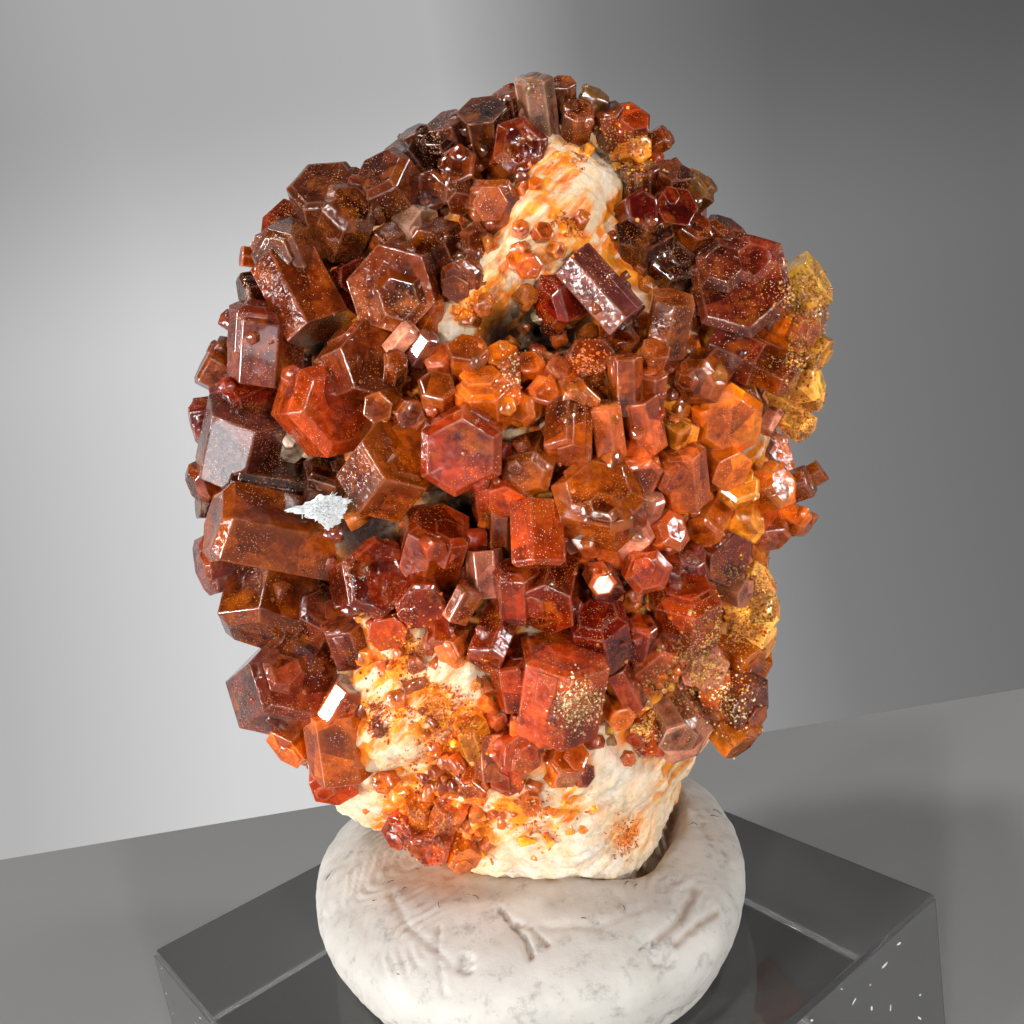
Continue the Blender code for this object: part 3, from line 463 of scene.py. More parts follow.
        (3.25, -12.95, 0.2, 1.20, 1.6, 50, 330, 20, "red"),
    ),
    "foot_druse": (
        (-3.85, -16.10, 0.3, 2.00, 2.4, 48, 250, 6, "red"),
        (-5.10, -15.60, 0.3, 1.80, 2.2, 52, 220, 18, "red"),
        (-2.60, -16.60, 0.2, 1.60, 2.2, 54, 290, 25, "orange"),
        (-4.60, -14.80, 0.3, 1.60, 2.0, 34, 100, 12, "orange"),
        (-3.20, -15.10, 0.4, 1.60, 2.0, 30, 60, 3, "coral"),
    ),
}

# Smaller crystals that only the looks have.
SMALL_CRYSTALS = (
    (3.20, 19.50, 0.7, 1.60, 1.8, 50, 80, 5, "brown"),
    (-2.55, 15.75, 1.2, 1.20, 1.8, 22, 268, 20, "brown"),
    (-4.10, 9.95, 1.2, 1.30, 1.8, 60, 85, 10, "russet"),
    (-5.50, 8.65, 2.2, 1.10, 1.8, 68, 48, 0, "rose"),
    (-4.50, 8.20, 2.0, 1.10, 1.8, 64, 56, 8, "plum"),
    (-5.90, 7.20, 2.3, 1.20, 1.8, 30, 80, 12, "brown"),
    (-6.40, 5.30, 2.0, 1.50, 2.0, 24, 200, 0, "amber"),
    (-5.25, 4.95, 1.9, 1.60, 2.0, 18, 330, 22, "russet"),
    (-3.40, 7.20, 1.0, 1.60, 2.2, 44, 112, 6, "coral"),
    (1.45, 5.90, 0.9, 1.60, 1.8, 20, 40, 9, "orange"),
    (0.65, 5.20, 0.9, 1.60, 1.8, 26, 200, 21, "orange"),
    (0.90, 7.00, 0.7, 1.40, 1.8, 38, 95, 28, "orange"),
    (2.20, 6.90, 0.7, 1.40, 1.8, 30, 60, 6, "coral"),
    (6.90, 7.50, 0.9, 1.40, 2.0, 50, 70, 4, "coral"),
    (7.50, 2.10, 1.2, 1.60, 2.2, 52, 320, 0, "coral"),
    (-0.55, -0.70, 1.2, 1.60, 2.4, 68, 88, 20, "coral"),
    (2.85, -0.95, 1.0, 1.40, 2.0, 60, 120, 11, "coral"),
    (1.95, 9.75, 0.9, 1.20, 1.8, 50, 150, 27, "pearl"),
    (6.65, 17.55, -0.3, 1.20, 1.8, 66, 340, 16, "garnet"),
    (14.60, 1.60, -1.2, 1.10, 2.0, 82, 30, 2, "amber"),
    (10.85, -3.75, 0.9, 1.50, 2.0, 62, 338, 10, "rose"),
    (-2.45, -4.50, 1.6, 1.40, 2.0, 66, 62, 0, "coral"),
    (-3.50, -5.70, 1.1, 1.30, 2.2, 70, 268, 28, "garnet"),
    (-2.75, -6.60, 1.0, 1.40, 2.0, 40, 220, 12, "coral"),
    (5.60, -8.75, 1.1, 1.50, 2.4, 62, 118, 20, "red"),
    (6.40, -6.30, 1.2, 1.50, 2.2, 48, 80, 27, "red"),
    (5.20, -9.90, 0.9, 1.40, 2.0, 40, 300, 8, "orange"),
    (3.60, -1.60, 1.0, 1.40, 2.2, 64, 60, 5, "silver"),
    (3.75, -1.55, 2.2, 1.20, 1.6, 25, 120, 10, "silver"),
    (4.35, -3.35, 2.3, 1.30, 1.6, 30, 300, 5, "silver"),
    (4.60, -3.30, 1.2, 1.50, 2.2, 60, 290, 14, "plum"),
    (5.90, -1.40, 1.2, 1.60, 2.2, 46, 40, 9, "rose"),
    (6.80, 0.10, 1.0, 1.40, 2.0, 52, 70, 26, "rose"),
    (0.45, 14.1, 2.2, 0.85, 0.9, 20, 80, 10, "orange"),
    (0.40, 13.1, 2.1, 0.80, 0.9, 25, 200, 0, "orange"),
    (2.25, 13.1, 2.1, 0.80, 0.9, 30, 350, 15, "glow"),
    (3.45, 14.6, 1.9, 0.80, 0.9, 30, 60, 5, "orange"),
    (1.15, 16.2, 2.1, 0.75, 0.9, 45, 90, 0, "orange"),
    (0.60, 16.1, 1.9, 0.75, 0.9, 25, 20, 30, "orange"),
    (12.90, 4.55, 0.2, 0.90, 1.3, 65, 240, 0, "rose"),
    (-5.60, -14.1, 0.1, 0.95, 1.1, 30, 300, 20, "glow"),
)

# Crystals strewn over the sides and back, as in the solids' source.
STREWN_SEED = 7
STREWN_TRIES = 900
STREWN_WIDTHS = (4.6, 2.4)
STREWN_CLUSTERS = {
    "left_side_crystals": (100, 215, -0.34, 0.0),
    "right_side_crystals": (-40, 70, -0.44, -0.24),
    "back_top_crystals": (40, 140, -0.97, -0.44),
    "back_left_crystals": (-50, 40, -0.97, -0.50),
    "back_right_crystals": (140, 220, -0.97, -0.44),
}
STREWN_SPACING = 0.47
STREWN_RISE = 0.22
STREWN_OVERHANG = 1.2
STREWN_LOWEST = 26.0
STREWN_BARE = ((1.0, -3.5, 4.2), (-5.0, 8.5, 2.6))
STREWN_TONES = ("brown", "red", "amber", "maroon", "coral", "deep", "orange")

FIERY = ("orange", "glow")
GOLDEN = ("gold", "tan", "amber")
# Small crystals in the gaps: right, up, radius of the patch, how many, least and greatest width, tones.
DRUSE_PATCHES = (
    (0.5, 6.0, 4.0, 170, 0.35, 0.95, ("orange", "coral", "amber")),
    (4.5, 3.5, 5.0, 160, 0.35, 0.95, ("coral", "orange", "red")),
    (9.5, 5.5, 4.5, 150, 0.35, 0.95, ("orange", "coral", "amber")),
    (12.5, 1.5, 3.5, 150, 0.30, 0.80, ("orange", "amber", "gold")),
    (13.6, 7.5, 4.0, 120, 0.30, 0.80, ("gold", "amber")),
    (8.0, 14.0, 3.5, 120, 0.30, 0.80, ("brown", "amber", "gold")),
    (5.8, 18.4, 2.2, 80, 0.25, 0.65, ("orange", "red", "gold")),
    (-2.5, 16.5, 4.5, 150, 0.30, 0.85, ("amber", "brown", "orange")),
    (-9.0, 12.5, 4.5, 110, 0.35, 0.90, ("brown", "maroon", "amber")),
    (-12.5, 5.5, 4.5, 110, 0.35, 0.90, ("deep", "brown", "maroon")),
    (-6.5, 5.0, 4.5, 140, 0.35, 0.90, ("amber", "orange", "brown")),
    (-11.0, -3.0, 5.0, 110, 0.35, 0.90, ("brown", "maroon", "amber")),
    (-3.5, -4.0, 4.5, 170, 0.35, 0.95, ("red", "coral", "orange")),
    (-5.5, -7.0, 3.0, 130, 0.30, 0.85, (*FIERY, "coral")),
    (5.5, -2.5, 4.0, 170, 0.30, 0.90, ("coral", "orange", "rose")),
    (11.5, -5.0, 3.5, 260, 0.25, 0.60, GOLDEN),
    (7.5, -8.0, 3.6, 240, 0.20, 0.55, (*GOLDEN, "orange")),
    (2.5, -9.0, 4.0, 140, 0.30, 0.80, ("red", "coral", "orange")),
    (-9.5, -10.5, 4.0, 120, 0.30, 0.85, ("red", "orange", "maroon")),
    (-3.0, -9.5, 3.6, 170, 0.25, 0.75, (*FIERY, "coral")),
    (-0.8, -12.4, 2.4, 120, 0.30, 0.80, (*FIERY, "coral")),
    (-3.8, -15.2, 2.4, 240, 0.25, 0.65, ("orange", "red", "glow")),
    (0.8, -14.8, 3.0, 90, 0.20, 0.50, FIERY),
    (2.6, 17.0, 1.4, 40, 0.20, 0.50, FIERY),
    (2.4, 13.4, 1.0, 40, 0.20, 0.45, FIERY),
    (-2.2, 9.8, 1.6, 40, 0.20, 0.50, ("amber", "orange")),
)
# The shares of them that are left out on bare rock, in the hollows with painted shade, and on large crystals.
LEFT_OUT_ON_ROCK = 0.92
LEFT_OUT_IN_HOLLOWS = 0.8
LEFT_OUT_ON_CRYSTALS = 0.97

# Groups of small crystals on the back.
BACK_DRUSE_GROUPS = 105
BACK_DRUSE_COUNTS = (4, 11)
BACK_DRUSE_WIDTHS = (0.4, 1.9)
BACK_DRUSE_LIFTS = (-0.85, 0.05)
BACK_DRUSE_SPREAD = (0.07, 0.045)
BACK_DRUSE_TONES = ("red", "orange", "amber", "brown", "coral", "maroon")

# Crusts of tiny grains: right, up, radius, how many, tones.
GRAIN_PATCHES = (
    (3.3, -9.7, 1.2, 1050, ("cream", "tan", "rose", "orange")),
    (10.6, -6.0, 1.2, 480, GOLDEN),
    (9.2, -7.6, 1.4, 630, GOLDEN),
    (7.6, -9.2, 1.6, 690, GOLDEN),
    (6.4, -10.6, 1.3, 450, ("gold", "tan")),
    (10.8, -9.4, 1.6, 390, ("gold", "cream", "amber")),
    (12.1, -3.9, 1.2, 630, ("gold", "tan", "orange")),
    (11.9, -5.6, 1.1, 450, ("gold", "tan", "orange")),
    (15.0, 10.8, 1.6, 780, GOLDEN),
    (14.6, 7.8, 1.3, 390, ("gold", "amber")),
    (14.2, 4.6, 1.3, 390, ("gold", "orange")),
    (5.8, 18.0, 1.6, 360, ("gold", "orange")),
    (2.8, 16.9, 0.7, 390, (*FIERY, "gold")),
    (2.6, 13.4, 0.7, 450, FIERY),
    (-2.0, 10.0, 1.0, 135, FIERY),
    (0.4, 7.0, 1.2, 360, ("orange", "cream", "coral")),
    (3.7, 7.4, 1.2, 180, ("orange", "coral")),
    (-4.4, -7.6, 2.6, 630, FIERY),
    (-6.6, -10.0, 1.5, 390, ("orange", "coral")),
    (-3.4, -10.6, 2.6, 630, FIERY),
    (-3.8, -15.2, 2.4, 630, (*FIERY, "red")),
    (1.2, -15.0, 2.0, 390, FIERY),
    (5.8, -16.2, 1.0, 180, FIERY),
)
GRAIN_SIZES = (0.05, 0.19)

# Scrap of white tissue: its outline as right and up, its middle, and its frayed rim.
SCRAP_OUTLINE = ((-11.5, 0.05), (-10.5, 0.35), (-9.6, 0.9), (-8.8, 0.85), (-8.0, 0.65), (-8.3, 0.2),
                 (-8.5, -0.4), (-9.2, -0.95), (-9.7, -0.5), (-10.4, -0.15))
SCRAP_CENTRE = (-9.4, 0.1)
SCRAP_RINGS = 9
SCRAP_SPOKES = 72
SCRAP_THICKNESS = 0.06
SCRAP_CLEARANCE = 0.15
SCRAP_CURLS = ((0.25, 1.3, 0), (0.08, 6, 4))    # height, how tight, and which run of the noise
SCRAP_GRAIN = 0.2               # heading of its fibres
SCRAP_FIBRES = 150
SCRAP_FIBRE_RADIUS = 0.018
SCRAP_FIBRE_LENGTHS = (0.2, 0.6)
SCRAP_FIBRE_STEPS = 5

# Lamps: bearing (0 in front, positive to the right) and height in degrees, distance and size in metres, power
# in watts, colour.
LIT_POINT = Vector((0.0, 0.0, 0.038))
LAMPS = {
    "key": (-62, -1, 0.35, 0.05, 1.05, (1.0, 0.97, 0.93)),
    "left": (-86, 2, 0.35, 0.03, 0.25, (1.0, 0.97, 0.93)),
    "front left": (-20, 13, 0.35, 0.03, 0.52, (1.0, 0.98, 0.95)),
    "front right": (22, 10, 0.35, 0.03, 0.50, (1.0, 0.98, 0.95)),
    "right": (80, 12, 0.35, 0.05, 0.55, (1.0, 0.98, 0.96)),
    "top": (-55, 65, 0.30, 0.03, 0.30, (1.0, 1.0, 1.0)),
    "low glint": (-15, -15, 0.136, 0.012, 0.002, (0.95, 0.96, 1.0)),
    "left glint": (-51, -24, 0.085, 0.012, 0.004, (0.95, 0.96, 1.0)),
}
# Backdrop: place from left to right and its brightness there, then where it fades upwards, and how far.
ROOM_LEVEL = 0.05               # the light from the rest of the room
BACKDROP = ((-0.45, 0.46), (-0.28, 0.66), (0.00, 0.74), (0.13, 0.34), (0.28, 0.20), (0.45, 0.15))
BACKDROP_EDGE = (0.1, 0.7)      # where the room goes over into the backdrop
BACKDROP_HIGH = (-0.05, 0.18, 0.60)
FLOOR_REACH = 0.5
FLOOR_BACK = 0.045              # the shelf's back edge shows behind the specimen
FLOOR_GREY = 0.34


def show_axes():
    """Right, up and out of the show plane, as unit vectors."""
    forward = Vector((0, math.cos(VIEW_PITCH), -math.sin(VIEW_PITCH)))
    level = Vector((1, 0, 0))
    rise = level.cross(forward)
    right = level * math.cos(VIEW_ROLL) + rise * math.sin(VIEW_ROLL)
    up = rise * math.cos(VIEW_ROLL) - level * math.sin(VIEW_ROLL)
    return right, up, -forward


RIGHT, UP, OUT = show_axes()


def shrink(out):
    """How a length at this distance compares with the length it covers on the show plane."""
    return (SHOW_DISTANCE - out) / SHOW_DISTANCE


def place(right, up, out):
    """The world position, in mm, of a place in show space."""
    scale = shrink(out)
    return VIEW_POINT - OUT * (SHOW_DISTANCE - out) + (RIGHT * right + UP * up) * scale


def sight(right, up):
    """The direction from the viewing point to this place of the show plane."""
    return (place(right, up, 0) - VIEW_POINT).normalized()


def outline_radius(outline, angle):
    """The outline's radius at this angle, by a smooth curve through its listed radii."""
    count = len(outline)
    step = (angle / (2 * math.pi) * count) % count
    first = int(step)
    share = step - first
    before, here, after, beyond = (outline[(first + k) % count] for k in (-1, 0, 1, 2))
    slope_here = (after - before) / 2
    slope_after = (beyond - here) / 2
    cubic = 2 * (here - after) + slope_here + slope_after
    square = -3 * (here - after) - 2 * slope_here - slope_after
    return here + share * (slope_here + share * (square + share * cubic))


def relief(right, up):
    """How far the show face is pushed out here by its hollows and swellings."""
    total = 0.0
    for x, y, radius, depth in RELIEF:
        total -= depth * math.exp(-((right - x) ** 2 + (up - y) ** 2) / radius ** 2)
    return total


def middle_out(up):
    return MATRIX_MIDDLE_OUT + MATRIX_LEAN * up


def matrix_depth(right, up, swell, front):
    """Out of the matrix's surface here, given how full it is: 0 at its outline, 1 at its middle."""
    grain = MATRIX_ROUGHNESS * noise.noise(Vector((right, up, 0 if front else 9)) / MATRIX_GRAIN)
    if front:
        return middle_out(up) + swell * (MATRIX_FRONT + relief(right, up) + grain)
    return middle_out(up) - swell * (MATRIX_BACK + grain)


def matrix_out(right, up):
    """Out of the matrix's show face at this place, which is first brought inside its outline."""
    dx = right - MATRIX_CENTRE[0]
    dy = up - MATRIX_CENTRE[1]
    reach = outline_radius(MATRIX_OUTLINE, math.atan2(dy, dx))
    share = min(math.hypot(dx, dy) / reach, 0.93)
    swell = (1 - share ** MATRIX_SQUARENESS) ** (1 / MATRIX_SQUARENESS)
    return matrix_depth(right, up, swell, True)


def matrix_point(turn, lift):
    """Show-space point of the matrix: turn goes round the outline, lift from -1 at the back to 1 in front."""
    swell = abs(math.sin(lift * math.pi / 2)) ** (2 / MATRIX_SQUARENESS)
    share = math.cos(lift * math.pi / 2) ** (2 / MATRIX_SQUARENESS)
    reach = outline_radius(MATRIX_OUTLINE, turn) * share
    right = MATRIX_CENTRE[0] + reach * math.cos(turn)
    up = MATRIX_CENTRE[1] + reach * math.sin(turn)
    return right, up, matrix_depth(right, up, swell, lift > 0)


def unit(value):
    """The value, brought between 0 and 1."""
    return min(max(value, 0), 1)


def distance_to_line(x, y, line):
    """The least distance from a place to a run of straight pieces."""
    least = math.inf
    for (ax, ay), (bx, by) in zip(line, line[1:]):
        length = (bx - ax) ** 2 + (by - ay) ** 2
        share = unit(((x - ax) * (bx - ax) + (y - ay) * (by - ay)) / length)
        least = min(least, math.hypot(x - ax - (bx - ax) * share, y - ay - (by - ay) * share))
    return least


def cave_shading(right, up):
    """How far this place lies inside a hollow with painted shade, from 0 to 1."""
    return max(math.exp(-(math.hypot(right - x, up - y) / radius) ** 4) for x, y, radius in SHADED_CAVES)


def bareness(right, up):
    """How bare the rock is here, from 0 to 1, and how far it rises there."""
    share = 0.0
    rise = 0.0
    for x, y, end_x, end_y, radius, height in BARE_ROCK:
        away = distance_to_line(right, up, ((x, y), (end_x, end_y))) / radius
        near = math.exp(-away ** 4)
        share = max(share, near)
        rise = max(rise, near * height)
    return share, rise


def standing(crystal):
    """A listed crystal with the rise of its middle replaced by its out."""
    right, up, rise = crystal[:3]
    return (right, up, matrix_out(right, up) + rise, *crystal[3:])


def raised(crystal):
    """A small standing crystal, lifted with the bare rock under it."""
    right, up, out = standing(crystal)[:3]
    return (right, up, out + bareness(right, up)[1], *crystal[3:])


def crystal_frame(centre, tilt, heading):
    """The c axis of a crystal at this world position, and two directions square to it."""
    out = (VIEW_POINT - centre).normalized()
    right = (RIGHT - out * RIGHT.dot(out)).normalized()
    up = out.cross(right)
    side = right * math.cos(heading) + up * math.sin(heading)
    axis = out * math.cos(tilt) + side * math.sin(tilt)
    across = up * math.cos(heading) - right * math.sin(heading)
    return axis, across, axis.cross(across)


def strewn_crystals():
    """Crystals for the sides and back, by cluster, spaced by their widths."""
    chance = random.Random(STREWN_SEED)
    taste = random.Random("tones")
    placed = []
    clusters = {name: [] for name in STREWN_CLUSTERS}
    widest, narrowest = STREWN_WIDTHS
    for k in range(STREWN_TRIES):
        name, (low, high, back, front) = chance.choice(list(STREWN_CLUSTERS.items()))
        turn = math.radians(chance.uniform(low, high))
        lift = chance.uniform(back, front)
        width = widest + (narrowest - widest) * (k / STREWN_TRIES) ** 0.4
        length = width * chance.uniform(0.9, 1.2)
        tilt = 90 + 90 * abs(lift) ** 0.8 + chance.uniform(-20, 20)
        heading = math.degrees(turn) + chance.uniform(-30, 30)
        spin = chance.uniform(0, 60)
        right, up, out = matrix_point(turn, lift)
        spot = place(right, up, out)
        if spot.z < STREWN_LOWEST:
            continue
        if any((spot - other).length < (width + room) * STREWN_SPACING for other, room in placed):
            continue
        if any(math.hypot(right - x, up - y) < room and lift < -0.4 for x, y, room in STREWN_BARE):
            continue
        reach = math.hypot(right - MATRIX_CENTRE[0], up - MATRIX_CENTRE[1]) + width * 0.6
        if reach > outline_radius(MATRIX_OUTLINE, turn) + STREWN_OVERHANG:
            continue
        placed.append((spot, width))
        lean = math.radians(tilt)
        rise = STREWN_RISE * width
        right += rise * math.sin(lean) * math.cos(turn)
        up += rise * math.sin(lean) * math.sin(turn)
        out += rise * math.cos(lean)
        tone = taste.choice(STREWN_TONES)
        clusters[name].append((right, up, out, width, length, tilt, heading, spin, tone))
    return clusters


def linked(name, mesh, material):
    """A new object of this mesh."""
    mesh.materials.append(material)
    thing = bpy.data.objects.new(name, mesh)
    bpy.context.scene.collection.objects.link(thing)
    return thing


def flatten(thing):
    """Keeps the faces looking flat up to their rounded edges."""
    thing.modifiers.new("flat faces", "WEIGHTED_NORMAL").weight = 100
    return thing


def set_values(mesh, **values):
    """Gives the mesh a number, or a colour, for every point."""
    for name, numbers in values.items():
        numbers = np.array(numbers, np.float32)
        is_colour = numbers.ndim == 2
        attribute = mesh.attributes.new(name, "FLOAT_COLOR" if is_colour else "FLOAT", "POINT")
        attribute.data.foreach_set("color" if is_colour else "value", numbers.ravel())


def new_piece(name, points, faces, material, **values):
    """A smooth object of these points in mm, with the values of every point."""
    mesh = bpy.data.meshes.new(name)
    mesh.from_pydata([tuple(p * MM for p in point) for point in points], [], faces)
    set_values(mesh, **values)
    mesh.polygons.foreach_set("use_smooth", [True] * len(mesh.polygons))
    return linked(name, mesh, material)


def gather(points, faces, more_points, more_faces):
    """Adds a small mesh to the points and faces of a larger one."""
    first = len(points)
    points.extend(more_points)
    faces.extend(tuple(first + k for k in face) for face in more_faces)


def surface_tree(things):
    """A search tree of the things' faces, in mm, and whose each face is."""
    points = []
    faces = []
    owners = []
    for thing in things:
        own = [tuple(face.vertices) for face in thing.data.polygons]
        gather(points, faces, [vertex.co / MM for vertex in thing.data.vertices], own)
        owners.extend([thing] * len(own))
    return BVHTree.FromPolygons(points, faces), owners


class Stock:
    """Many small meshes gathered into one: points in mm, faces, and values for every point.

    The values are its colour, how far it is an edge (0 to 1) for its pale edges and painted highlights, how
    thin the crystal is there (0 to 1) for the painted glow in its rims, and its place along the crystal in
    mm.
    """

    def __init__(self):
        self.points = []
        self.faces = []
        self.values = []

    def add(self, points, faces, values):
        gather(self.points, self.faces, points, faces)
        self.values.extend(values)

    def piece(self, name, material):
        """One object of everything gathered."""
        tones, edges, thins, alongs = zip(*self.values)
        tones = [(*tone, 1.0) for tone in tones]
        values = {"tone": tones, "edge": edges, "painted_rim_glow": thins, "along": alongs}
        return flatten(new_piece(name, self.points, self.faces, material, **values))


def hexagon_reaches(width, seed):
    """How far each of a prism's six sides lies from its axis."""
    chance = random.Random(seed)
    return [width / 2 * chance.uniform(0.86, 1.06) for _ in range(6)]


def hexagon_corners(reaches, spin):
    corners = []
    for k in range(6):
        angle = spin + k * math.pi / 3
        after = angle + math.pi / 3
        near = reaches[k]
        far = reaches[(k + 1) % 6]
        x = (near * math.sin(after) - far * math.sin(angle)) / math.sin(math.pi / 3)
        y = (far * math.cos(angle) - near * math.cos(after)) / math.sin(math.pi / 3)
        corners.append((x, y))
    return corners


def ring_points(reaches, spin, inset, bevel, detail):
    """Points round a hexagon drawn in by the inset, its corners rounded.

    Each has its x and y, its edge value, its side, and its distance along that side from a corner.
    """
    left = max(1 - inset / min(reaches), 0.02)
    corners = hexagon_corners([reach * left for reach in reaches], spin)
    ring = []
    for k, (x, y) in enumerate(corners):
        after_x, after_y = corners[(k + 1) % 6]
        length = math.hypot(after_x - x, after_y - y)
        cut = min(bevel * left, 0.28 * length)
        if detail is PLAIN:
            stops = [(cut, 1.0), (length - cut, 1.0)]
        else:
            pull = 1 - 0.3 * cut / math.hypot(x, y)
            ring.append((x * pull, y * pull, 1.0, k, 0.0))
            line = cut + min(EDGE_LINE, 0.12 * length)
            columns = detail[0] + 1
            stops = [(cut, 1.0), (line, 0.0)]
            for column in range(1, columns):
                stops.append((line + (length - 2 * line) * column / columns, 0.0))
            stops += [(length - line, 0.0), (length - cut, 1.0)]
        for stop, edge in stops:
            share = stop / length
            off = min(stop, length - stop)
            ring.append((x + (after_x - x) * share, y + (after_y - y) * share, edge, k, off))
    return ring


def profile(half, radius, bevel, detail, chamfer):
    """Rings of a prism from its upper end down: inset, height, edge value.

    The chamfer is the width of the sloping faces between the end and the sides.
    """
    if detail is PLAIN:
        return [(bevel, half, 1.0), (0.0, half - bevel, 1.0), (0.0, -half + bevel, 1.0), (bevel, -half, 1.0)]
    line = bevel + min(EDGE_LINE, 0.1 * radius)
    drop = CHAMFER_SLOPE * chamfer
    rings = []
    for k in range(detail[2]):
        share = (k + 1) / (detail[2] + 1)
        rings.append((radius * (1 - share) + (line + chamfer) * share, half, 0.0))
    rings.append((line + chamfer, half, 0.0))
    rings.append((bevel + chamfer, half, 1.0))
    if chamfer > 2 * bevel:
        rings.append((chamfer - 0.2 * bevel, half - CHAMFER_SLOPE * 0.2 * bevel, 1.0))
        rings.append((chamfer - bevel, half - CHAMFER_SLOPE * bevel, 0.0))
        rings.append((bevel, half - drop + CHAMFER_SLOPE * bevel, 0.0))
        rings.append((0.2 * bevel, half - drop + CHAMFER_SLOPE * 0.2 * bevel, 1.0))
    else:
        rings.append((0.29 * bevel, half - drop - 0.29 * bevel, 1.0))
    rings.append((0.0, half - drop - bevel, 1.0))
    rings.append((0.0, half - drop - line, 0.0))
    for k in range(detail[1]):
        share = (k + 1) / (detail[1] + 1)
        rings.append((0.0, (half - drop - line) * (1 - share) + (line - half) * share, 0.0))
    return [*rings, (0.0, line - half, 0.0), (0.0, bevel - half, 1.0), (bevel, -half, 1.0)]


def tone_of(name, chance):
    """A crystal's own colour, a little off its tone."""
    base = TONES[name]
    bright = chance.uniform(0.82, 1.22)
    warm = chance.uniform(-0.10, 0.14)
    return (base[0] * bright, base[1] * bright * (1 + warm), base[2] * bright * (1 + warm))


def shaded(tone, factor):
    return tuple(factor * c for c in tone)


def add_prism(stock, centre, axes, reaches, spin, half, bevel, detail, tones, chance,
              waviness=0.0, shift=0.0, chamfer=0.0):
    """One hexagonal prism with rounded edges, its faces a little uneven in shape and shade.

    The tones are those of its ends and its sides, and the shift moves it along its axis.
    """
    axis, across, along = axes
    tone, side_tone = tones
    radius = min(reaches)
    bevel = min(bevel, 0.2 * radius, 0.4 * half)
    sides = [chance.uniform(*SIDE_SHADES) for _ in range(6)]
    end = chance.uniform(*END_SHADES)
    hollow = chance.uniform(*END_HOLLOWS) * radius
    points = [centre + axis * (half + shift - hollow)]
    values = [(shaded(tone, 0.9 * end), 0.0, 0.0, half)]
    rings = profile(half, radius, bevel, detail, min(chamfer, 0.6 * half))
    count = 0
    for inset, height, edge in rings:
        ring = ring_points(reaches, spin, inset, bevel, detail)
        count = len(ring)
        on_end = height == half
        sunk = hollow * inset / radius if on_end else 0.0
        for x, y, side_edge, side, off in ring:
            point = centre + axis * (height + shift - sunk) + across * x + along * y
            if waviness:
                wave = noise.noise(point * 0.9) * 0.6 + noise.noise(point * 2.7) * 0.4
                way = axis if on_end else (across * x + along * y).normalized()
                point += way * (wave * waviness)
            if on_end:
                near = edge
                depth = inset
                # Painted glow: the end is a little lighter towards its rim.
                own_tone = shaded(tone, end * (0.92 + 0.16 * (1 - inset / radius)))
            else:
                near = max(edge, side_edge)
                depth = min(off, half - height)
                own_tone = shaded(side_tone, sides[side] * (0.9 + 0.2 * (height + half) / (2 * half)))
            if detail is PLAIN:
                near = PLAIN_EDGE
            points.append(point)
            values.append((own_tone, near, math.exp(-depth / (THIN_REACH * radius)), height))
    points.append(centre - axis * (half - shift))
    values.append((shaded(tone, 0.7), 0.0, 0.0, -half))
    faces = []
    for k in range(count):
        after = (k + 1) % count
        faces.append((0, 1 + k, 1 + after))
        for low in range(1, 1 + (len(rings) - 1) * count, count):
            high = low + count
            faces.append((low + k, high + k, high + after, low + after))
        low = 1 + (len(rings) - 1) * count
        faces.append((low + k, len(points) - 1, low + after))
    stock.add(points, faces, values)


def add_crystal(stock, crystal, seed):
    """A listed crystal with the smaller ones that grew in line with it, and a few grown across it."""
    right, up, out, width, length, tilt, heading, spin, tone_name = crystal
    chance = random.Random(f"look {seed}")
    centre = place(right, up, out)
    axes = crystal_frame(centre, math.radians(tilt), math.radians(heading))
    axis, across, along = axes
    wide = width * shrink(out)
    half = length * shrink(out) / 2
    turn = math.radians(spin)
    tone = tone_of(tone_name, chance)
    # Silver crystals have their painted glare on their ends only; their sides are coral.
    side_tone = tone_of("coral", chance) if tone_name == "silver" else tone

    def beside(angle, off):
        return centre + (across * math.cos(angle) + along * math.sin(angle)) * off

    def own_shade(least, most):
        return (tuple(c * chance.uniform(least, most) for c in side_tone),) * 2

    detail = FINE if width > FINE_WIDTH else MEDIUM
    chamfer = wide * chance.uniform(0.06, 0.16) if chance.random() < 0.65 else 0.0
    add_prism(stock, centre, axes, hexagon_reaches(wide, seed), turn, half, EDGE_BEVEL, detail,
              (tone, side_tone), chance, WAVE + WAVE_GROWTH * wide, chamfer=chamfer)
    step_detail = MEDIUM if width > STEPPED_WIDTH else PLAIN
    for _ in range(chance.randint(1, 3) if width > 1.5 else chance.randint(0, 2)):
        angle = chance.uniform(0, 2 * math.pi)
        part = chance.uniform(0.3, 0.7)
        off = (1.0 - part) * wide / 2 * chance.uniform(0.8, 1.12)
        own_half = half * chance.uniform(0.45, 0.9)
        lift = half - own_half + chance.uniform(-0.10, 0.07) * wide
        own = [wide / 2 * part * chance.uniform(0.85, 1.1) for _ in range(6)]
        add_prism(stock, beside(angle, off), axes, own, turn, own_half, STEP_BEVEL, step_detail,
                  own_shade(0.9, 1.15), chance, 0.01, lift, chance.choice((0.0, 0.15 * part * wide)))
    for _ in range(chance.randint(1, 4) if width > 1.2 else 0):
        angle = chance.uniform(0, 2 * math.pi)
        small = min(chance.uniform(0.16, 0.34) * wide, 0.9)
        spot = beside(angle, wide / 2 * chance.uniform(0.75, 1.0))
        spot += axis * (half * chance.uniform(-0.1, 0.95) - 0.3 * small)
        lean = crystal_frame(spot, chance.uniform(0, 1.4), chance.uniform(0, 2 * math.pi))
        own = [small / 2 * chance.uniform(0.85, 1.1) for _ in range(6)]
        shade = own_shade(0.8, 1.3)
        own_turn = chance.uniform(0, 1)
        add_prism(stock, spot, lean, own, own_turn, small * 0.6, SMALL_BEVEL, PLAIN, shade, chance)


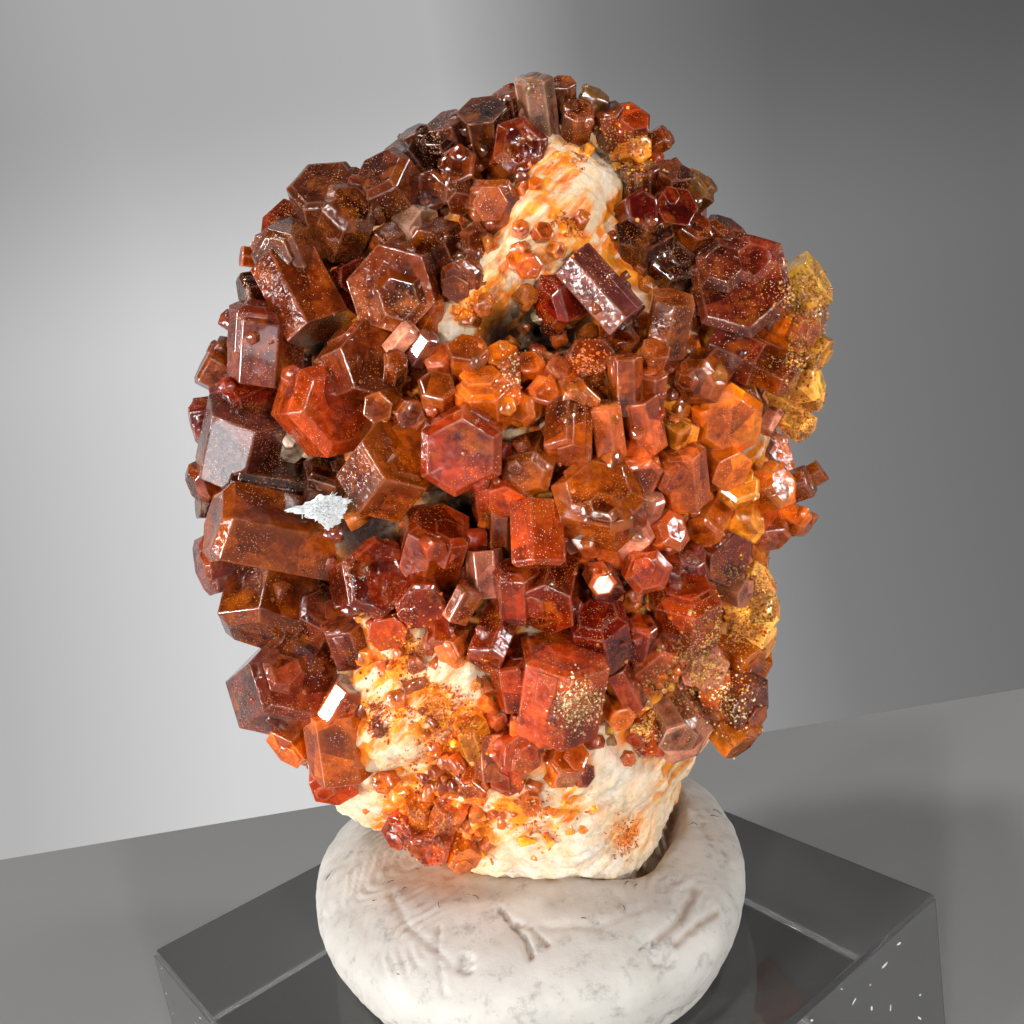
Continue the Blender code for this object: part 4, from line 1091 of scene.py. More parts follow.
def add_small(stock, spot, normal, width, tone_name, chance):
    """A small crystal that stands on a surface, leaning at random from its normal."""
    tangent = normal.orthogonal().normalized()
    other = normal.cross(tangent)
    angle = chance.uniform(0, 2 * math.pi)
    lean = chance.uniform(0.0, 1.25)
    side = tangent * math.cos(angle) + other * math.sin(angle)
    axis = normal * math.cos(lean) + side * math.sin(lean)
    across = axis.orthogonal().normalized()
    axes = (axis, across, axis.cross(across))
    half = width * chance.uniform(0.45, 0.9)
    reaches = [width / 2 * chance.uniform(0.85, 1.08) for _ in range(6)]
    centre = spot + normal * (width * chance.uniform(0.0, 0.3)) - axis * (half * 0.35)
    tone = tone_of(tone_name, chance)
    spin = chance.uniform(0, 1)
    add_prism(stock, centre, axes, reaches, spin, half, 0.03 * width + 0.005, PLAIN, (tone, tone), chance)


def add_grain(stock, spot, size, tone_name, chance):
    """A grain too small for faces of its own: an uneven octahedron."""
    turn = Matrix.Rotation(chance.uniform(0, math.pi), 3, Vector((chance.gauss(0, 1), chance.gauss(0, 1), 1)))
    points = []
    for way in ((1, 0, 0), (-1, 0, 0), (0, 1, 0), (0, -1, 0), (0, 0, 1), (0, 0, -1)):
        points.append(spot + turn @ Vector(way) * (size / 2 * chance.uniform(0.7, 1.3)))
    faces = [(0, 2, 4), (2, 1, 4), (1, 3, 4), (3, 0, 4), (2, 0, 5), (1, 2, 5), (3, 1, 5), (0, 3, 5)]
    stock.add(points, faces, [(tone_of(tone_name, chance), 0.3, 0.5, 0.0)] * len(points))


def scattered(patch, chance):
    """A place at random round the middle of a patch, which starts with its right, up and radius."""
    right, up, radius = patch[:3]
    return right + chance.gauss(0, radius * 0.5), up + chance.gauss(0, radius * 0.5)


def gap_stock(number, patches, tree, is_rock):
    """Small crystals in the gaps of the show face, where they are seen from the front."""
    stock = Stock()
    chance = random.Random(f"druse {number}")
    for patch in patches:
        count, least, most, tones = patch[3:]
        for _ in range(count):
            x, y = scattered(patch, chance)
            bare, rise = bareness(x, y)
            if chance.random() < max(LEFT_OUT_ON_ROCK * bare, LEFT_OUT_IN_HOLLOWS * cave_shading(x, y)):
                continue
            spot, normal, face, _ = tree.ray_cast(VIEW_POINT, sight(x, y))
            if spot is None:
                continue
            size = least + (most - least) * chance.random() ** 1.6
            if is_rock[face]:
                spot = spot + OUT * rise
            elif chance.random() < LEFT_OUT_ON_CRYSTALS:
                continue
            else:
                size = 0.12 + 0.1 * size
            add_small(stock, spot, normal, size, chance.choice(tones), chance)
    return stock


def grain_stock(tree, is_rock):
    """Crusts of tiny grains on the show face."""
    stock = Stock()
    chance = random.Random("grains")
    for patch in GRAIN_PATCHES:
        count, tones = patch[3:]
        for _ in range(count):
            x, y = scattered(patch, chance)
            spot, _, face, _ = tree.ray_cast(VIEW_POINT, sight(x, y))
            if spot is None:
                continue
            if is_rock[face]:
                spot = spot + OUT * bareness(x, y)[1]
            add_grain(stock, spot, chance.uniform(*GRAIN_SIZES), chance.choice(tones), chance)
    return stock


def back_stock():
    """Groups of small crystals on the back and sides of the rock."""
    stock = Stock()
    chance = random.Random("back druse")
    for _ in range(BACK_DRUSE_GROUPS):
        middle_turn = chance.uniform(0, 2 * math.pi)
        middle_lift = chance.uniform(*BACK_DRUSE_LIFTS)
        for _ in range(chance.randint(*BACK_DRUSE_COUNTS)):
            turn = middle_turn + chance.gauss(0, BACK_DRUSE_SPREAD[0])
            lift = middle_lift + chance.gauss(0, BACK_DRUSE_SPREAD[1])
            spot = place(*matrix_point(turn, lift))
            if spot.z < STREWN_LOWEST:
                continue
            ahead = place(*matrix_point(turn + 0.02, lift)) - spot
            aside = place(*matrix_point(turn, lift + 0.01)) - spot
            normal = ahead.cross(aside).normalized()
            tone = chance.choice(BACK_DRUSE_TONES)
            add_small(stock, spot, normal, chance.uniform(*BACK_DRUSE_WIDTHS), tone, chance)
    return stock


def rings_faces(rings, spokes):
    """Faces of a closed surface of rings of points, with a first and a last point that close it."""
    last = 1 + rings * spokes
    faces = []
    for k in range(spokes):
        after = (k + 1) % spokes
        faces.append((0, 1 + after, 1 + k))
        for r in range(rings - 1):
            low = 1 + r * spokes
            high = low + spokes
            faces.append((low + k, low + after, high + after, high + k))
        low = 1 + (rings - 1) * spokes
        faces.append((low + k, low + after, last))
    return faces


def lumps(spot, sizes):
    """How far a rough surface stands out here."""
    return sum(height * noise.fractal(spot / size, fall, spread, 3) for size, height, fall, spread in sizes)


def rock_piece(crystals, material):
    """The matrix in fine detail: rough, chipped, stained where crystals stand, and painted dark in its
    hollows as painted shade.
    """
    lifts = [-1 + (k + 1) / (ROCK_BACK_RINGS + 1) for k in range(ROCK_BACK_RINGS)]
    lifts += [k / ROCK_FRONT_RINGS for k in range(ROCK_FRONT_RINGS)]
    turns = [2 * math.pi * k / ROCK_SPOKES for k in range(ROCK_SPOKES)]
    show = [matrix_point(0, -1)]
    for lift in lifts:
        show.extend(matrix_point(turn, lift) for turn in turns)
    show.append(matrix_point(0, 1))
    points = [place(*spot) for spot in show]
    rock = new_piece("matrix_rock", points, rings_faces(len(lifts), ROCK_SPOKES), material)
    mesh = rock.data
    front = np.array([spot[2] > middle_out(spot[1]) for spot in show])
    flat = np.array([spot[:2] for spot in show])
    close = np.full(len(show), 9.0)
    for crystal in crystals:
        away = np.hypot(flat[:, 0] - crystal[0], flat[:, 1] - crystal[1]) - crystal[3] / 2
        close = np.minimum(close, away)
    stain = STAIN_BY_CRYSTALS * np.exp(-np.clip(close, 0, None) / STAIN_REACH)
    for right, up, radius, strength in STAINS:
        away = np.hypot(flat[:, 0] - right, flat[:, 1] - up) / radius
        stain += strength * np.exp(-away ** 2)
    stain = np.where(front, np.clip(stain, 0, 1), STAIN_BEHIND)
    normals = [vertex.normal.copy() for vertex in mesh.vertices]
    lifted = [bareness(*spot[:2]) if ahead else (0.0, 0.0) for spot, ahead in zip(show, front)]
    stain = stain * (1 - BARE_STAIN * np.array([one[0] for one in lifted]))
    for vertex, normal, spot, (_, lift) in zip(mesh.vertices, normals, points, lifted):
        rough = lumps(spot, ROCK_LUMPS)
        chips = noise.voronoi(spot / CHIP_SIZE)[0]
        rough -= CHIP_DEPTH * max(0.0, CHIP_EDGE - (chips[1] - chips[0])) / CHIP_EDGE
        vertex.co += normal * ((rough - ROCK_SINK) * MM)
        vertex.co += OUT * (lift * MM)
    # Painted shade: how far each point lies in a shaded hollow.
    dark = [cave_shading(*spot[:2]) if ahead else 0.0 for spot, ahead in zip(show, front)]
    set_values(mesh, stain=stain, dark=dark)
    return rock


def putty_skin(turn, share):
    """World point of the putty's skin: share 0 is the rim of its base and 1 its middle."""
    radius = outline_radius(PUTTY_OUTLINE, turn)
    if share < PUTTY_SIDE_SHARE:
        bulge = share / PUTTY_SIDE_SHARE
        reach = radius * (1 - PUTTY_UNDERCUT * (1 - math.sin(bulge * math.pi / 2)))
        height = PUTTY_HEIGHT * PUTTY_BULGE * bulge
    else:
        climb = (share - PUTTY_SIDE_SHARE) / (1 - PUTTY_SIDE_SHARE) * math.pi / 2
        reach = radius * math.cos(climb) ** 0.9
        height = PUTTY_HEIGHT * (PUTTY_BULGE + (1 - PUTTY_BULGE) * math.sin(climb) ** 0.9)
        height -= PUTTY_DENT * math.exp(-(reach / PUTTY_DENT_RADIUS) ** 2)
    x = PUTTY_CENTRE[0] + reach * math.cos(turn)
    y = PUTTY_CENTRE[1] + reach * math.sin(turn)
    return Vector((x, y, BLOCK_HEIGHT + PUTTY_LIFT + height))


def putty_marks(spot):
    """How far the putty's skin stands out here through finger marks, creases and pits."""
    x, y, _ = spot
    mark = lumps(spot, PUTTY_LUMPS)
    for cx, cy, radius in FINGERPRINTS:
        away = math.hypot(x - cx, y - cy)
        if away < radius:
            bend = 0.6 * noise.noise(spot / 1.8)
            from_centre = math.hypot(x - cx - RIDGE_CENTRE[0], y - cy - RIDGE_CENTRE[1])
            ridge = math.sin(2 * math.pi * (from_centre + bend) / RIDGE_SPACING)
            strength = (1 - away / radius) * max(0.0, 0.5 + noise.noise(spot / 1.1))
            mark += RIDGE_HEIGHT * ridge * min(strength * 2.0, 1.0)
    for line, width, depth in CREASES:
        away = distance_to_line(x, y, line) + 0.12 * noise.noise(spot / 0.35)
        mark -= depth * math.exp(-(away / width) ** 2)
    for px, py, radius, depth in PITS:
        away = math.hypot(x - px, y - py) + 0.3 * noise.noise(spot / 0.3)
        if away < radius:
            mark -= depth * (0.7 + 0.5 * noise.noise(spot / 0.15))
    return mark


def cracking(x, y):
    """How near this place lies to a crack of the putty, whose painted shade darkens it, from 0 to 1."""
    return max(math.exp(-(distance_to_line(x, y, line) / width) ** 2) for line, width, _ in CRACKS)


def putty_piece(material):
    """The putty, pressed into a hollow by the rock's foot."""
    foot, _ = surface_tree([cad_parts["matrix"]])
    turns = [2 * math.pi * k / PUTTY_SPOKES for k in range(PUTTY_SPOKES)]
    base = BLOCK_HEIGHT + PUTTY_LIFT
    points = [Vector((*PUTTY_CENTRE, base))]
    for ring in range(PUTTY_RINGS):
        points.extend(putty_skin(turn, ring / PUTTY_RINGS) for turn in turns)
    points.append(putty_skin(0, 1))
    putty = new_piece("putty_ball", points, rings_faces(PUTTY_RINGS, PUTTY_SPOKES), material)
    mesh = putty.data
    normals = [vertex.normal.copy() for vertex in mesh.vertices]
    shade = []
    for k, (vertex, normal, spot) in enumerate(zip(mesh.vertices, normals, points)):
        moved = spot + normal * putty_marks(spot) if k > PUTTY_SPOKES else spot.copy()
        nearest, face_normal, _, away = foot.find_nearest(moved)
        inside = (moved - nearest).dot(face_normal) < 0
        if not inside:
            dip = unit((moved.x - DIP_FROM[0]) / 4.0) * unit((moved.z - DIP_FROM[1]) / 2.0)
            moved.z -= dip * DIP[0] * math.exp(-(away / DIP[1]) ** 2)
            moved.z += SQUEEZED[0] * math.exp(-((away - SQUEEZED[1]) / SQUEEZED[2]) ** 2) * (1 - dip)
        else:
            hit = foot.ray_cast(moved + Vector((0, 0, 0.01)), Vector((0, 0, -1)))[0]
            if hit is not None:
                moved.z = max(hit.z - HOLLOW_GAP, BLOCK_HEIGHT + 1.0)
        moved.z = max(moved.z, base)
        # Painted shadow: darker beside the rock's foot and along the cracks.
        by_rock = math.exp(-(0 if inside else away) / FOOT_SHADE_REACH)
        shade.append(max(by_rock, CRACK_SHADE * cracking(spot.x, spot.y)))
        vertex.co = moved * MM
    set_values(mesh, near_rock=shade)
    return putty


def tube(path, radius, sides=4):
    """Points and faces of a thin tube along a path."""
    points = []
    faces = []
    for k, spot in enumerate(path):
        ahead = (path[min(k + 1, len(path) - 1)] - path[max(k - 1, 0)]).normalized()
        across = ahead.orthogonal().normalized()
        other = ahead.cross(across)
        for side in range(sides):
            angle = 2 * math.pi * side / sides
            points.append(spot + (across * math.cos(angle) + other * math.sin(angle)) * radius)
    for k in range(len(path) - 1):
        for side in range(sides):
            after = (side + 1) % sides
            low = k * sides
            faces.append((low + side, low + after, low + sides + after, low + sides + side))
    faces.append(tuple(reversed(range(sides))))
    faces.append(tuple(range((len(path) - 1) * sides, len(path) * sides)))
    return points, faces


def hairs_piece(putty, material):
    """Short curly hairs lying on the putty."""
    tree, _ = surface_tree([putty])
    chance = random.Random("fibres")
    points = []
    faces = []
    count = HAIRS
    while count:
        x, y, reach = chance.choice(HAIR_PATCHES)
        x += chance.gauss(0, reach)
        y += chance.gauss(0, reach)
        heading = chance.uniform(0, 2 * math.pi)
        curl = chance.uniform(-HAIR_CURL, HAIR_CURL)
        length = chance.uniform(*HAIR_LENGTHS)
        path = []
        for k in range(HAIR_STEPS + 1):
            hit, normal, _, _ = tree.ray_cast(Vector((x, y, 60)), Vector((0, 0, -1)))
            if hit is None:
                break
            path.append(hit + normal * (HAIR_RADIUS * 0.6 + 0.03 * math.sin(k)))
            x += math.cos(heading) * length / HAIR_STEPS
            y += math.sin(heading) * length / HAIR_STEPS
            heading += curl / HAIR_STEPS
        if len(path) > HAIR_STEPS:
            gather(points, faces, *tube(path, HAIR_RADIUS))
            count -= 1
    return new_piece("putty_fibres", points, faces, material)


def scrap_rim(chance):
    """The ragged rim of the scrap, as right and up from its middle."""
    rim = []
    corners = len(SCRAP_OUTLINE)
    for k in range(SCRAP_SPOKES):
        share = k / SCRAP_SPOKES * corners
        x, y = SCRAP_OUTLINE[int(share)]
        after_x, after_y = SCRAP_OUTLINE[(int(share) + 1) % corners]
        part = share - int(share)
        ragged = chance.uniform(0.90, 1.08)
        rim.append(((x + (after_x - x) * part - SCRAP_CENTRE[0]) * ragged,
                    (y + (after_y - y) * part - SCRAP_CENTRE[1]) * ragged))
    return rim


def scrap_piece(tree, material):
    """A torn scrap of white tissue lying on the crystals, its rim frayed into short fibres."""
    chance = random.Random("scrap")
    points = []
    faces = []
    rim = scrap_rim(chance)
    top = math.inf
    for dx, dy in rim:
        for share in (0.4, 0.95):
            way = sight(SCRAP_CENTRE[0] + dx * share, SCRAP_CENTRE[1] + dy * share)
            spot = tree.ray_cast(VIEW_POINT, way)[0]
            if spot is not None:
                top = min(top, (VIEW_POINT - spot).length)
    for side in (0.0, SCRAP_THICKNESS):
        for ring in range(1, SCRAP_RINGS + 1):
            share = ring / SCRAP_RINGS
            for dx, dy in rim:
                x = SCRAP_CENTRE[0] + dx * share
                y = SCRAP_CENTRE[1] + dy * share
                curl = sum(bow * noise.noise(Vector((x, y, run)) * tight) for bow, tight, run in SCRAP_CURLS)
                points.append(VIEW_POINT + sight(x, y) * (top - SCRAP_CLEARANCE + curl * share - side))
    count = SCRAP_SPOKES
    under = SCRAP_RINGS * count
    edge = (SCRAP_RINGS - 1) * count
    for k in range(count):
        after = (k + 1) % count
        for low in range(0, edge, count):
            face = (low + k, low + count + k, low + count + after, low + after)
            faces.append(face)
            faces.append(tuple(under + face[corner] for corner in (0, 3, 2, 1)))
        faces.append((edge + k, under + edge + k, under + edge + after, edge + after))
    faces.append(tuple(range(count)))
    faces.append(tuple(under + k for k in reversed(range(count))))
    for _ in range(SCRAP_FIBRES):
        dx, dy = rim[chance.randrange(count)]
        share = chance.uniform(0.2, 1.0)
        heading = SCRAP_GRAIN + chance.gauss(0, 0.5) + math.pi * chance.randrange(2)
        length = chance.uniform(*SCRAP_FIBRE_LENGTHS) * (1.1 - 0.7 * share)
        bow = chance.uniform(-0.25, 0.25)
        path = []
        for step in range(SCRAP_FIBRE_STEPS + 1):
            part = step / SCRAP_FIBRE_STEPS
            x = SCRAP_CENTRE[0] + dx * share + math.cos(heading + bow * part) * length * part
            y = SCRAP_CENTRE[1] + dy * share + math.sin(heading + bow * part) * length * part
            path.append(VIEW_POINT + sight(x, y) * (top - 0.24 - 0.1 * math.sin(3 * part)))
        gather(points, faces, *tube(path, SCRAP_FIBRE_RADIUS))
    return new_piece("white_scrap", points, faces, material)


def block_piece(material):
    """The block, its edges rounded."""
    form = bmesh.new()
    bmesh.ops.create_cube(form, size=1.0)
    size = (BLOCK_SIDE * MM, BLOCK_SIDE * MM, BLOCK_HEIGHT * MM)
    bmesh.ops.scale(form, vec=size, verts=form.verts)
    bmesh.ops.translate(form, vec=(0, 0, BLOCK_HEIGHT * MM / 2), verts=form.verts)
    bmesh.ops.bevel(form, geom=form.edges[:], offset=BLOCK_ROUNDING * MM, segments=3, affect="EDGES")
    bmesh.ops.rotate(form, matrix=Matrix.Rotation(BLOCK_TURN, 3, "Z"), verts=form.verts)
    mesh = bpy.data.meshes.new("acrylic_block")
    form.to_mesh(mesh)
    form.free()
    mesh.polygons.foreach_set("use_smooth", [True] * len(mesh.polygons))
    return flatten(linked("acrylic_block", mesh, material))


def scuffs_piece(material):
    """Small white chips and scratches on the block's sides, most of them near its edges."""
    chance = random.Random("scuffs")
    points = []
    faces = []
    half = BLOCK_SIDE / 2
    turn = Matrix.Rotation(BLOCK_TURN, 3, "Z")
    fan = [(corner, (corner + 1) % 6, 6) for corner in range(6)]
    for k in range(SCUFFS):
        across = half * chance.uniform(-0.96, 0.96)
        near_edge = chance.random() < SCUFFS_NEAR_EDGE
        down = chance.expovariate(1 / 1.2) if near_edge else chance.uniform(0, BLOCK_HEIGHT - 1)
        down = min(down + 0.4, BLOCK_HEIGHT - 1)
        size = chance.uniform(*SCUFF_SIZES)
        stretch = chance.uniform(*SCUFF_STRETCHES)
        lean = chance.uniform(-0.9, 0.9) + (math.pi / 2 if chance.random() < 0.3 else 0)
        spot = Vector((across, -half - SCUFF_CLEARANCE, BLOCK_HEIGHT - down))
        own = []
        for corner in range(6):
            angle = corner * math.pi / 3
            reach = size * chance.uniform(0.5, 1.0)
            u = reach * stretch * math.cos(angle)
            v = reach * math.sin(angle) * 0.6
            aside = u * math.cos(lean) - v * math.sin(lean)
            own.append(spot + Vector((aside, 0, u * math.sin(lean) + v * math.cos(lean))))
        own.append(spot + Vector((0, -SCUFF_HEIGHT, 0)))
        spin = Matrix.Rotation(k % 4 * math.pi / 2, 3, "Z")
        gather(points, faces, [turn @ (spin @ point) for point in own], fan)
    return new_piece("block_scuffs", points, faces, material)


class Graph:
    """The nodes of a material or of the world. An input is a number, a colour or another node's output."""

    def __init__(self, owner):
        owner.use_nodes = True
        self.owner = owner
        self.nodes = owner.node_tree.nodes
        self.links = owner.node_tree.links

    def feed(self, socket, value):
        if isinstance(value, bpy.types.NodeSocket):
            self.links.new(value, socket)
        elif isinstance(value, tuple) and socket.type == "RGBA":
            socket.default_value = (*value, 1)
        else:
            socket.default_value = value

    def node(self, kind, inputs, output=0, **settings):
        """The output of a new node with these settings and inputs."""
        node = self.nodes.new("ShaderNode" + kind)
        for name, value in settings.items():
            setattr(node, name, value)
        for name, value in inputs.items():
            self.feed(node.inputs[name], value)
        return node.outputs[output]

    def ramp(self, value, *stops):
        """A value or colour read from stops: (place, grey or colour)."""
        colour = self.node("ValToRGB", {"Fac": value}, "Color")
        elements = colour.node.color_ramp.elements
        while len(elements) < len(stops):
            elements.new(0.5)
        for element, (spot, level) in zip(elements, stops):
            element.position = spot
            element.color = (*level, 1) if isinstance(level, tuple) else (level, level, level, 1)
        return colour

    def mix(self, factor, one, other, blend="MIX"):
        return self.node("Mix", {0: factor, 6: one, 7: other}, 2, data_type="RGBA", blend_type=blend)

    def maths(self, operation, one, other):
        return self.node("Math", {0: one, 1: other}, operation=operation)

    def vector(self, operation, inputs, output=0):
        return self.node("VectorMath", inputs, output, operation=operation)

    def smooth_step(self, value, start, end, low=0.0, high=1.0):
        """Goes softly from low to high as the value goes from start to end."""
        inputs = {"Value": value, "From Min": start, "From Max": end, "To Min": low, "To Max": high}
        return self.node("MapRange", inputs, interpolation_type="SMOOTHSTEP")


class Shading(Graph):
    """A material under construction."""

    def __init__(self, name):
        super().__init__(bpy.data.materials.new(name))
        self.shader = self.nodes["Principled BSDF"]
        self.place = self.node("TexCoord", {}, "Object")

    def set(self, **values):
        for name, value in values.items():
            self.shader.inputs[name.replace("_", " ")].default_value = value

    def link(self, source, name):
        self.links.new(source, self.shader.inputs[name])

    def attribute(self, name, output="Fac"):
        return self.node("Attribute", {}, output, attribute_name=name)

    def noise(self, size, detail=3.0, rough=0.5, place=None):
        """Noise whose lumps are about this size in mm."""
        look = {"Scale": 1 / (size * MM), "Detail": detail, "Roughness": rough}
        return self.node("TexNoise", {"Vector": place or self.place, **look}, "Fac")

    def cells(self, size, output="Distance"):
        return self.node("TexVoronoi", {"Scale": 1 / (size * MM), "Vector": self.place}, output)

    def two_tones(self, size, detail, one, other, end=0.65):
        """Clouds of one colour in the other."""
        return self.mix(self.ramp(self.noise(size, detail), (0.35, 0.0), (end, 1.0)), one, other)

    def dots(self, size, radius, soft_radius, clouds, *stops):
        """Dots in scattered clouds: how much of a dot is here, from 0 to 1."""
        dot = self.ramp(self.cells(size), (radius, 1.0), (soft_radius, 0.0))
        return self.maths("MULTIPLY", dot, self.ramp(clouds, *stops))

    def bump(self, height, depth, strength, normal=None):
        """A bump of this depth in mm."""
        inputs = {"Distance": depth * MM, "Strength": strength, "Height": height}
        if normal is not None:
            inputs["Normal"] = normal
        return self.node("Bump", inputs, "Normal")

    def glitter(self, size, amount, normal):
        """The normal, turned a little in every small cell, as on a face that grew in steps."""
        lean = self.vector("SUBTRACT", {0: self.cells(size, "Color"), 1: (0.5, 0.5, 0.5)})
        lean = self.vector("SCALE", {0: lean, "Scale": amount})
        return self.vector("NORMALIZE", {0: self.vector("ADD", {0: normal, 1: lean})})


def crystal_material(name, edge_wear_and_highlight, glitter, roughness, glow):
    """A clear orange to red crystal, frosted at its edges, veiled inside and dusted with fine specks, with
    painted glow, sheen and glints in its colour.

    Its edges are pale, partly worn and partly a painted highlight, and the glow is how far light spreads
    inside it, in mm.
    """
    s = Shading(name)
    tone = s.attribute("tone", "Color")
    # Growth zones, blotches and fine veils darken and lighten the tone; the zones' cells are partly a painted
    # reflection from facets inside the crystal.
    zoning_and_inner_reflection = s.ramp(s.cells(1.7, "Color"), (0.28, (0.40, 0.24, 0.12)), (0.5, 1.0), (0.72, (1.6, 1.8, 1.6)))
    blotch = s.ramp(s.noise(2.0, 5.0, 0.6), (0.32, (0.30, 0.15, 0.06)), (0.50, 1.0), (0.66, (1.7, 2.0, 1.7)))
    fine = s.ramp(s.noise(0.35, 5.0, 0.7), (0.32, (0.50, 0.34, 0.24)), (0.5, 1.0), (0.68, (1.55, 1.75, 1.7)))
    body = s.mix(0.9, tone, zoning_and_inner_reflection, "MULTIPLY")
    body = s.mix(1.0, body, blotch, "MULTIPLY")
    body = s.mix(0.85, body, fine, "MULTIPLY")
    # Painted glow: light that would come through the crystal is painted into its colour, in patches and along
    # the thin rims.
    painted_glow = s.ramp(s.noise(1.4, 5.0, 0.65), (0.52, 0.0), (0.68, 0.75))
    body = s.mix(painted_glow, body, s.mix(0.35, tone, (0.95, 0.22, 0.004)))
    painted_rim_glow = s.maths("MULTIPLY", s.attribute("painted_rim_glow"), 0.5)
    body = s.mix(painted_rim_glow, body, s.mix(1.0, tone, (1.5, 2.1, 1.4), "MULTIPLY"))
    # Edges are pale, partly worn and partly a painted highlight. Dust mixed with painted sparkle, a painted
    # sheen, and pale specks that are partly painted glints lie on the faces.
    edge = s.maths("MULTIPLY", s.attribute("edge"), s.ramp(s.noise(0.5, 2.0), (0.34, 0.0), (0.68, 0.38)))
    colour = s.mix(edge, body, s.mix(0.35, tone, edge_wear_and_highlight))
    # Golden dust, partly real dust and partly a painted sparkle.
    dust_and_sparkle = s.dots(0.11, 0.16, 0.26, s.noise(1.7, 4.0, 0.6), (0.47, 0.0), (0.60, 0.7))
    colour = s.mix(dust_and_sparkle, colour, (0.90, 0.36, 0.06))
    # Painted sheen: a pale lilac reflection in clouds over the faces.
    painted_sheen = s.ramp(s.noise(1.3, 6.0, 0.72), (0.64, 0.0), (0.78, 0.20))
    colour = s.mix(painted_sheen, colour, (0.42, 0.15, 0.11))
    # Pale specks, partly real specks and partly painted glints.
    speck = s.dots(0.13, 0.12, 0.20, s.noise(1.6, 4.0, 0.6), (0.48, 0.0), (0.62, 0.9))
    s.link(s.mix(speck, colour, (0.95, 0.66, 0.48)), "Base Color")
    rough = s.ramp(s.noise(0.7, 4.0, 0.6), (0.35, roughness * 0.3), (0.65, roughness * 1.9))
    s.link(s.maths("ADD", rough, s.maths("MULTIPLY", speck, 0.2)), "Roughness")
    # Fine lines run across the sides.
    along = s.node("CombineXYZ", {0: s.attribute("along")})
    lines = s.node("TexNoise", {"Scale": 7.0, "Detail": 4.0, "Vector": along}, "Fac")
    bump = s.bump(lines, 0.03, 0.5)
    bump = s.bump(s.noise(0.25, 4.0, 0.65), 0.02, 0.9, bump)
    s.link(s.glitter(0.14, glitter, bump), "Normal")
    s.set(Coat_Weight=0.5, Coat_Roughness=0.04, Coat_IOR=1.6, IOR=1.8, Specular_IOR_Level=0.30)
    s.set(Subsurface_Weight=0.3, Subsurface_Radius=(1.0, 0.4, 0.15), Subsurface_Scale=glow * MM)
    return s.owner


def rock_material():
    """Cream-white rock, sugary and slightly clear, with orange stains drawn out along its grain, and painted
    shade, near black, in its hollows.
    """
    s = Shading("matrix rock")
    cream = s.two_tones(3.5, 4.0, (0.82, 0.70, 0.55), (0.82, 0.60, 0.37))
    white = s.mix(s.ramp(s.noise(1.2, 5.0, 0.6), (0.42, 0.0), (0.62, 1.0)), cream, (0.84, 0.77, 0.69))
    grain = s.ramp(s.noise(0.35, 4.0, 0.7), (0.28, 0.72), (0.50, 1.0))
    body = s.mix(1.0, white, grain, "MULTIPLY")
    # The stains are drawn out towards the upper right.
    ways = ((RIGHT + UP).normalized() * 0.3, (UP - RIGHT).normalized() * 1.4, OUT * 0.8)
    parts = [s.vector("DOT_PRODUCT", {0: s.place, 1: way}, "Value") for way in ways]
    drawn = s.node("CombineXYZ", dict(enumerate(parts)))
    streak = s.ramp(s.noise(0.9, 5.0, 0.65, drawn), (0.38, 0.0), (0.60, 1.0))
    stain = s.ramp(s.maths("MULTIPLY", s.attribute("stain"), streak), (0.08, 0.0), (0.36, 1.0))
    rust = s.two_tones(0.6, 3.0, (0.95, 0.36, 0.025), (0.84, 0.16, 0.010), 0.7)
    body = s.mix(s.ramp(s.attribute("stain"), (0.02, 0.0), (0.28, 0.75)), body, (0.90, 0.66, 0.40))
    body = s.mix(stain, body, rust)
    # Painted shade: the rock in the hollows is painted near black.
    s.link(s.mix(s.attribute("dark"), body, (0.018, 0.005, 0.002)), "Base Color")
    bump = s.bump(s.noise(0.9, 6.0, 0.7), 0.25, 0.5)
    bump = s.bump(s.noise(0.15, 4.0, 0.7), 0.05, 0.8, bump)
    s.link(s.glitter(0.20, 0.4, bump), "Normal")
    s.set(Roughness=0.6, IOR=1.5, Specular_IOR_Level=0.25)
    s.set(Subsurface_Weight=0.3, Subsurface_Radius=(1.0, 0.75, 0.5), Subsurface_Scale=0.5 * MM)
    return s.owner


def putty_material():
    """Off-white putty, grimy in patches, with painted shadow in brown beside the rock and in its cracks, and
    a few dark specks.
    """
    s = Shading("mineral putty")
    base = s.two_tones(4.0, 4.0, (0.49, 0.475, 0.445), (0.575, 0.555, 0.525))
    grime = s.ramp(s.noise(1.0, 6.0, 0.75), (0.30, 0.62), (0.46, 1.0))
    body = s.mix(1.0, base, grime, "MULTIPLY")
    # Painted shadow in brown beside the rock and in the cracks.
    shade = s.maths("MULTIPLY", s.attribute("near_rock"), s.ramp(s.noise(1.5, 4.0), (0.3, 0.5), (0.6, 1.0)))
    body = s.mix(shade, body, (0.30, 0.20, 0.13))
    speck = s.dots(0.55, 0.035, 0.06, s.noise(2.0, 3.0), (0.5, 0.0), (0.6, 0.7))
    s.link(s.mix(speck, body, (0.16, 0.14, 0.11)), "Base Color")
    bump = s.bump(s.noise(0.7, 6.0, 0.75), 0.08, 0.5)
    s.link(s.bump(s.noise(0.12, 3.0), 0.02, 0.5, bump), "Normal")
    s.set(Roughness=0.62, IOR=1.45)
    s.set(Subsurface_Weight=0.1, Subsurface_Radius=(1.0, 0.8, 0.6), Subsurface_Scale=0.5 * MM)
    return s.owner


def acrylic_material():
    """Clear acrylic, a little hazy and scuffed."""
    s = Shading("clear acrylic")
    s.link(s.ramp(s.noise(5.0, 5.0, 0.6), (0.4, 0.01), (0.75, 0.10)), "Roughness")
    s.link(s.bump(s.noise(3.0, 3.0), 0.01, 0.3), "Normal")
    s.set(Base_Color=(0.93, 0.94, 0.95, 1), IOR=1.49, Transmission_Weight=0.93)
    return s.owner


